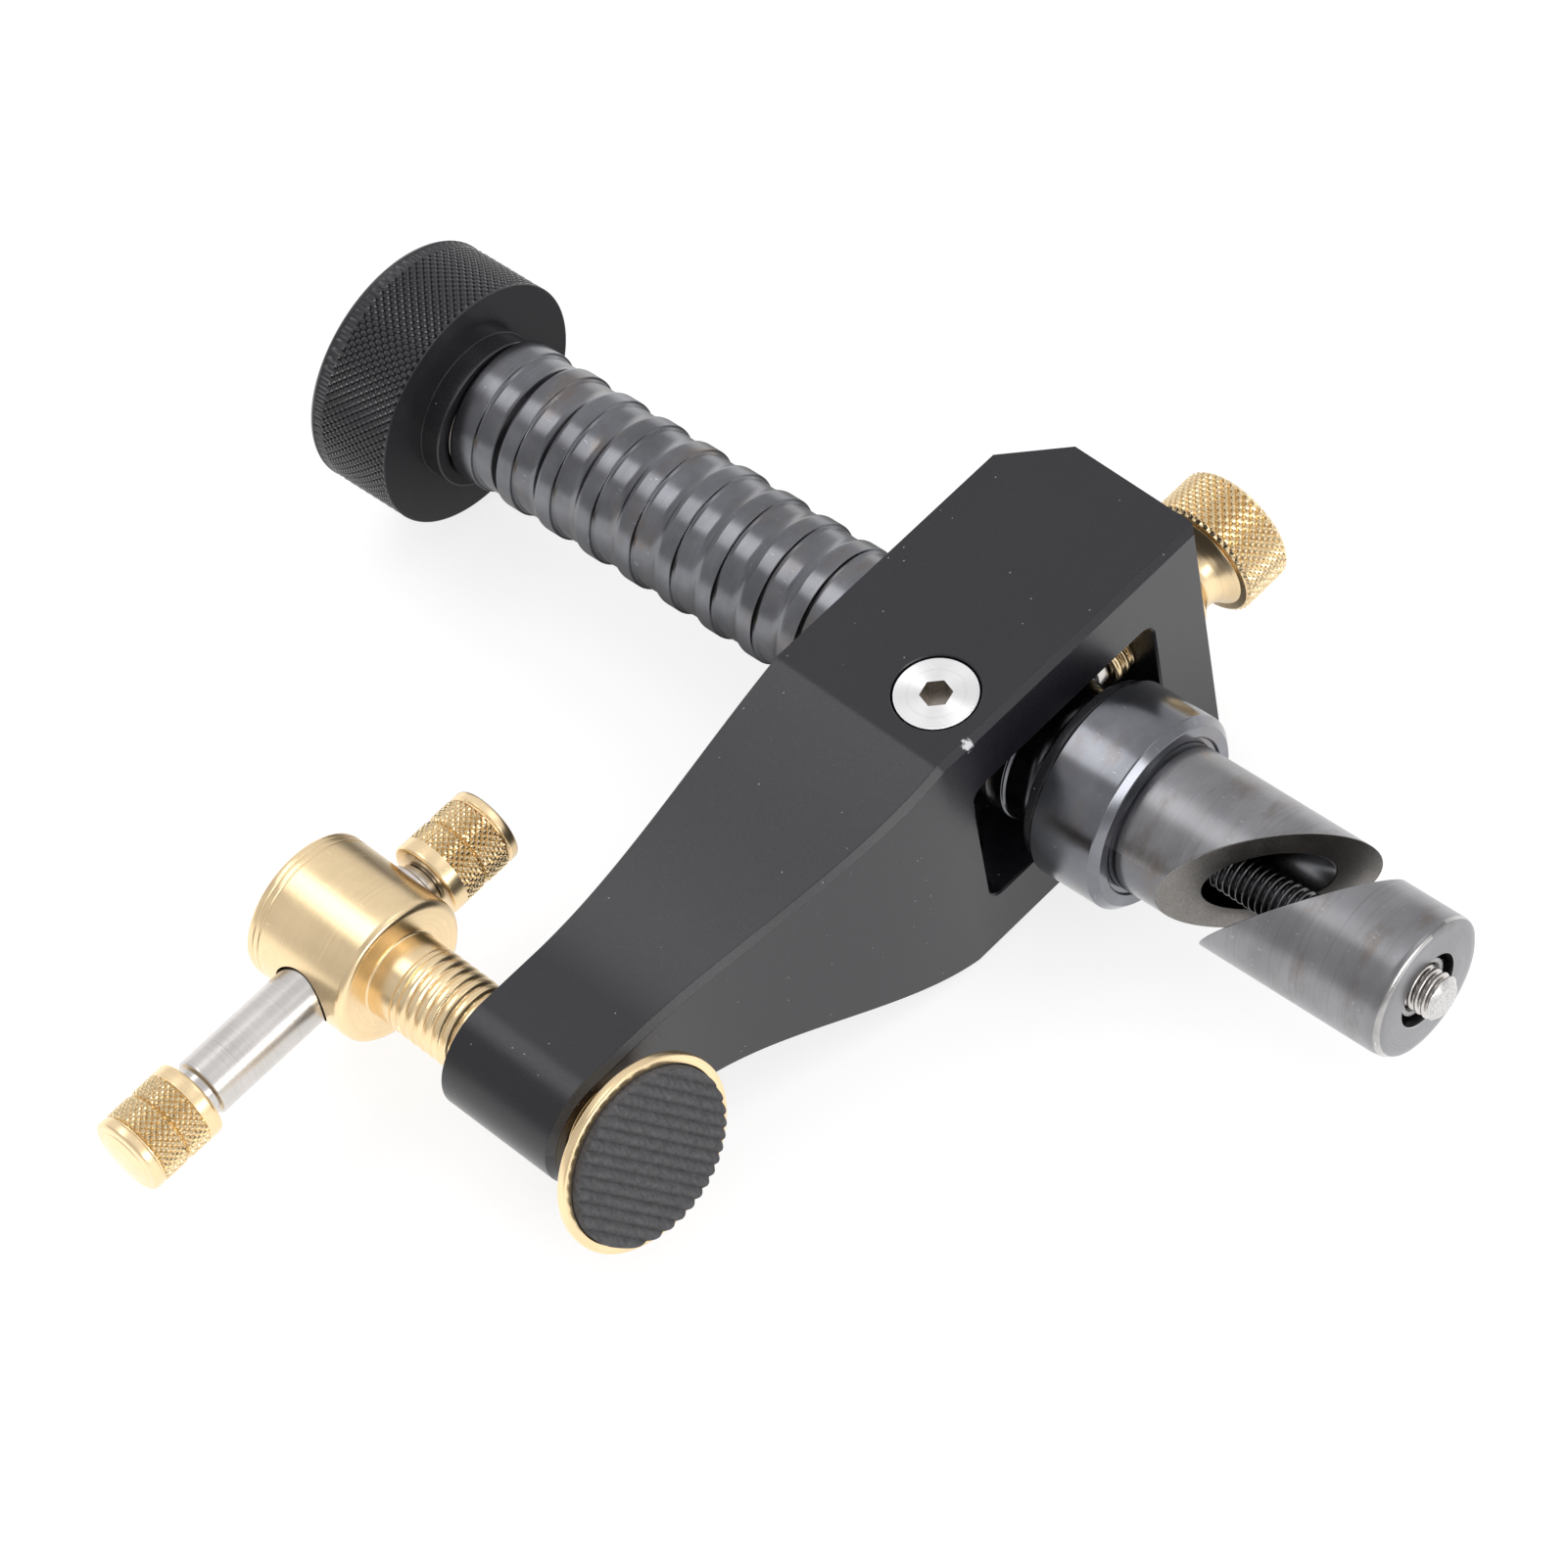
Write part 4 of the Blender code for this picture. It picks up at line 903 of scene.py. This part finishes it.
def make_tip_knobs():
    pitch = 2 * math.pi * TIP_KNOB / TIP_KNOB_COUNT
    near, far = TIP_KNOB_PLAIN, TIP_KNOB_LENGTH - TIP_KNOB_BAND
    points = tip_knob_line(near, far, pitch / 4)
    for name, way, turn in (("bar_knob_front", -1, math.pi), ("bar_knob_rear", 1, 0.0)):
        grid = spin(rounded(points, steps=8), 4 * TIP_KNOB_COUNT)
        grid = knurled(grid, near + 0.02, far - 0.02, TIP_KNOB_COUNT, TIP_KNURL_DEPTH, pitch)
        start = BAR_SLID + way * (BAR_HALF + NECK_LENGTH + GAP)
        place = ON_BAR @ shift(start, 0, 0) @ Matrix.Rotation(turn, 4, "Z")
        knob = turned(name + "_body", grid, place, sharp=KNURL_SHARP)
        dress(knob, "sliding_bar", [name], [BRASS, KNURL_BRASS])
        paint(knob, 1, lambda middle, normal: near < middle.x < far and middle.yz.length > PIN + 1.0)


def make_cup():
    seat, hole, floor = FACE + 0.12, STUB + 0.8, FACE_BACK - GAP
    points = [
        (CUP_BACK, hole), (CUP_BACK, 8.0, 0.0, 0.5), (CUP_FRONT - 1.3, CUP, 0.0, 0.4),
        (CUP_FRONT, CUP, 0.0, 0.35), (CUP_FRONT, seat, 0.0, 0.12), (floor, seat), (floor, SEAT),
        (CUP_BACK + 1.5, SEAT), (CUP_BACK + 1.5, hole), (CUP_BACK, hole),
    ]
    dress(lathe("pad_cup_body", points, ON_PAD), "pad", ["pad_cup"], [BRASS])


def rib_top(across):
    """Height of the ribbed face at a distance across its ribs."""
    wave = abs(((across / (2 * FACE) + 0.5) * RIBS) % 1.0 * 2 - 1)
    return FACE_FRONT - RIB_DEPTH * max(0.0, 1.25 * wave - 0.25) ** 1.3


def make_face():
    per_rib, steps, edge = 12, 26, 0.08
    bm = bmesh.new()
    verts = []
    for s in np.linspace(-FACE * 0.9995, FACE * 0.9995, RIBS * per_rib + 1):
        reach = math.sqrt(FACE ** 2 - s ** 2)
        top = rib_top(s)
        row = [(FACE_BACK, -reach), (top - 0.1, -reach)]
        row += [(top, -reach + edge + 2 * (reach - edge) * k / steps) for k in range(steps + 1)]
        row += [(top - 0.1, reach), (FACE_BACK, reach)]
        verts.append([bm.verts.new((x, t, s)) for x, t in row])
    for a, b in zip(verts, verts[1:]):
        for k in range(len(a)):
            bm.faces.new((a[k - 1], a[k], b[k], b[k - 1]))
    bm.faces.new(verts[0])
    bm.faces.new(verts[-1])
    bmesh.ops.rotate(bm, verts=bm.verts, cent=(0, 0, 0), matrix=Matrix.Rotation(RIB_TURN, 3, "X"))
    face = as_object("pad_face_body", bm, ON_PAD, 38.0)
    dress(face, "pad", ["pad_face"], [RUBBER])


# Thumb screw behind the block
def make_lock_tip():
    front, wide, peg = LOCK_TIP_END + 0.04, LOCK_TIP - 0.02, LOCK_TIP_END + LOCK_TIP_LENGTH
    points = [
        (front, 0.0), (front, LOCK_TIP - 0.5, 0.0, 0.1), (LOCK_TIP_END + 0.5, wide, 0.0, 0.1), (peg, wide),
        (peg, LOCK_PEG), (peg + LOCK_PEG_LENGTH, LOCK_PEG), (peg + LOCK_PEG_LENGTH, 0.0),
    ]
    tip = lathe("lock_tip_body", points, ON_LOCK, 64)
    dress(tip, "lock_tip", ["lock_tip"], [BRIGHT])


def make_lock_shaft():
    front = LOCK_TIP_END + LOCK_TIP_LENGTH + GAP
    hole, hole_end = LOCK_PEG + GAP, front + LOCK_PEG_LENGTH
    points = [(hole_end, 0.0), (hole_end, hole), (front, hole), (front, LOCK_THREAD, 0.0, 0.3)]
    points += band(front + 0.4, LOCK_FOOT - 0.5, LOCK_PITCH / 12, LOCK_THREAD)
    points += [(LOCK_FOOT, LOCK_THREAD - 0.3), (LOCK_FOOT, LOCK_FLANGE, 0.0, 0.2),
               (LOCK_FOOT + LOCK_FLANGE_THICK, LOCK_FLANGE, 0.0, 0.3)]
    neck = LOCK_FOOT + LOCK_FLANGE_THICK + 0.1
    for k in range(1, 11):
        t = k / 10
        radius = LOCK_NECK + (LOCK_FLARE - LOCK_NECK) * (1.7 * t - 0.7) ** 2
        points.append((neck + (LOCK_KNOB_START - neck) * t, radius, 0.0, 0.2))
    points += [(LOCK_KNOB_START + 1.0, LOCK_FLARE), (LOCK_KNOB_START + 1.0, 0.0)]
    grid = spin(rounded(points), 128)
    grid = threaded(grid, front, LOCK_FOOT - 0.4, LOCK_PITCH, LOCK_THREAD_DEPTH, LOCK_THREAD, 2.0)
    shaft = turned("lock_screw_shaft", grid, ON_LOCK)
    dress(shaft, "lock_screw", ["lock_screw"], [BRASS])


def make_lock_knob():
    start, end = LOCK_KNOB_START, LOCK_KNOB_END
    pitch = 2 * math.pi * LOCK_KNOB / LOCK_KNOB_COUNT
    points = [(start, 0.0), (start, LOCK_KNOB - 0.55, 0.0, 0.1), (start + 0.5, LOCK_KNOB, 0.0, 0.1)]
    points += band(start + 0.6, end - 0.7, pitch / 4, LOCK_KNOB)
    points += [(end - 0.55, LOCK_KNOB, 0.0, 0.1), (end, LOCK_KNOB - 0.6, 0.0, 0.2), (end, 0.0)]
    grid = spin(rounded(points, steps=6), 4 * LOCK_KNOB_COUNT)
    grid = knurled(grid, start + 0.4, end - 0.45, LOCK_KNOB_COUNT, LOCK_KNURL_DEPTH, pitch, LOCK_KNURL_SHARE)
    knob = turned("lock_screw_knob", grid, ON_LOCK, sharp=KNURL_SHARP)
    dress(knob, "lock_screw", ["lock_screw"], [BRASS, KNURL_BRASS])
    paint(knob, 1, lambda middle, normal: middle.x > start + 0.1 and abs(normal.x) < 0.75)


# Camera, floor and light
def make_camera():
    camera = bpy.data.objects.new("camera", bpy.data.cameras.new("camera"))
    bpy.context.scene.collection.objects.link(camera)
    turn = Matrix((CAMERA_RIGHT, CAMERA_UP, CAMERA_BACK)).transposed().to_4x4()
    camera.matrix_world = Matrix.Translation(Vector(CAMERA_PLACE)) @ turn
    camera.data.lens = LENS
    camera.data.sensor_width = SENSOR
    camera.data.clip_start = 0.01
    bpy.context.scene.camera = camera


def area_light(name, way, distance, size, power):
    """Soft box that looks at the middle of the clamp from the given direction."""
    data = bpy.data.lights.new(name, "AREA")
    data.shape = "RECTANGLE"
    data.size, data.size_y = size
    data.energy = power
    light = bpy.data.objects.new(name, data)
    bpy.context.scene.collection.objects.link(light)
    way = Vector(way).normalized()
    place = Matrix.Translation(Vector(LAMP_AIM) + way * distance)
    light.matrix_world = place @ way.to_track_quat("Z", "Y").to_matrix().to_4x4()


def make_floor():
    """White floor that keeps the shadow; to glossy rays it also glows, with a painted shadow where that glow
    fades out close to the clamp.
    """
    low = min(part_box("arm")[0][2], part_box("knob")[0][2])
    bm = bmesh.new()
    bmesh.ops.create_grid(bm, x_segments=1, y_segments=1, size=3000.0)
    floor = as_object("floor", bm, Matrix.Translation((0.0, 0.0, low)), CRISP)
    mat = bpy.data.materials.new("floor_white")
    mat.use_nodes = True
    tree = mat.node_tree
    shader = tree.nodes["Principled BSDF"]
    shader.inputs["Base Color"].default_value = (0.38, 0.38, 0.38, 1.0)
    shader.inputs["Roughness"].default_value = 0.9
    shader.inputs["Specular IOR Level"].default_value = 0.0
    shader.inputs["Emission Color"].default_value = (1.0, 1.0, 1.0, 1.0)
    path = node(tree, "ShaderNodeLightPath").outputs
    spot = node(tree, "ShaderNodeTexCoord").outputs["Object"]
    # Painted shadow in reflections: the floor's glow for glossy rays fades out within about 3 to 8 cm of this
    # spot near the clamp's middle, so metal there mirrors a darker floor.
    away = node(tree, "ShaderNodeVectorMath", {0: spot, 1: (-0.075, 0.02, 0.0)}, operation="DISTANCE")
    seen = spread(tree, away.outputs["Value"], 0.03, 0.078, 0.0, 1.0)
    reflected_glow_painted_shadow = node(tree, "ShaderNodeMath", {0: path["Is Glossy Ray"], 1: seen}, operation="MULTIPLY")
    glow = node(tree, "ShaderNodeMath", {0: path["Is Camera Ray"], 1: 0.74, 2: reflected_glow_painted_shadow.outputs["Value"]},
                operation="MULTIPLY_ADD")
    tree.links.new(glow.outputs["Value"], shader.inputs["Emission Strength"])
    floor.data.materials.append(mat)


def make_world():
    """Room of soft bands for the object to mirror, white to the camera."""
    world = bpy.data.worlds.new("studio")
    world.use_nodes = True
    bpy.context.scene.world = world
    tree = world.node_tree
    tree.nodes.clear()
    way = node(tree, "ShaderNodeTexCoord").outputs["Generated"]
    across = node(tree, "ShaderNodeSeparateXYZ", {"Vector": way}).outputs["Y"]
    ramp = node(tree, "ShaderNodeValToRGB", {"Fac": spread(tree, across, -1.0, 1.0)})
    stops = ramp.color_ramp
    stops.elements[0].position, stops.elements[0].color = 0.0, ROOM_FRONT
    stops.elements[1].position, stops.elements[1].color = 1.0, ROOM_BACK
    for position, grey in ROOM_STEPS:
        stops.elements.new(position).color = (grey, grey, grey * 1.02, 1.0)
    room = node(tree, "ShaderNodeBackground", {"Color": ramp.outputs["Color"], "Strength": 1.0})
    white = node(tree, "ShaderNodeBackground", {"Color": (1.0, 1.0, 1.0, 1.0), "Strength": 1.0})
    seen = node(tree, "ShaderNodeLightPath").outputs["Is Camera Ray"]
    mixed = node(tree, "ShaderNodeMixShader", {0: seen, 1: room.outputs[0], 2: white.outputs[0]})
    output = node(tree, "ShaderNodeOutputWorld")
    tree.links.new(mixed.outputs[0], output.inputs["Surface"])


make_camera()
make_floor()
make_world()
for lamp, (way, distance, size, power) in LAMPS.items():
    area_light(lamp, way, distance, size, power)

make_post()
make_collar()
make_bumper()
make_rod()
make_nose()
make_nut()
make_knob()
make_bush_and_washer()
make_arm()
make_catch_screw()
make_clamp_screw()
make_clip()
make_bar()
make_tip_knobs()
make_cup()
make_face()
make_lock_tip()
make_lock_shaft()
make_lock_knob()

bpy.context.scene.view_settings.view_transform = "Standard"
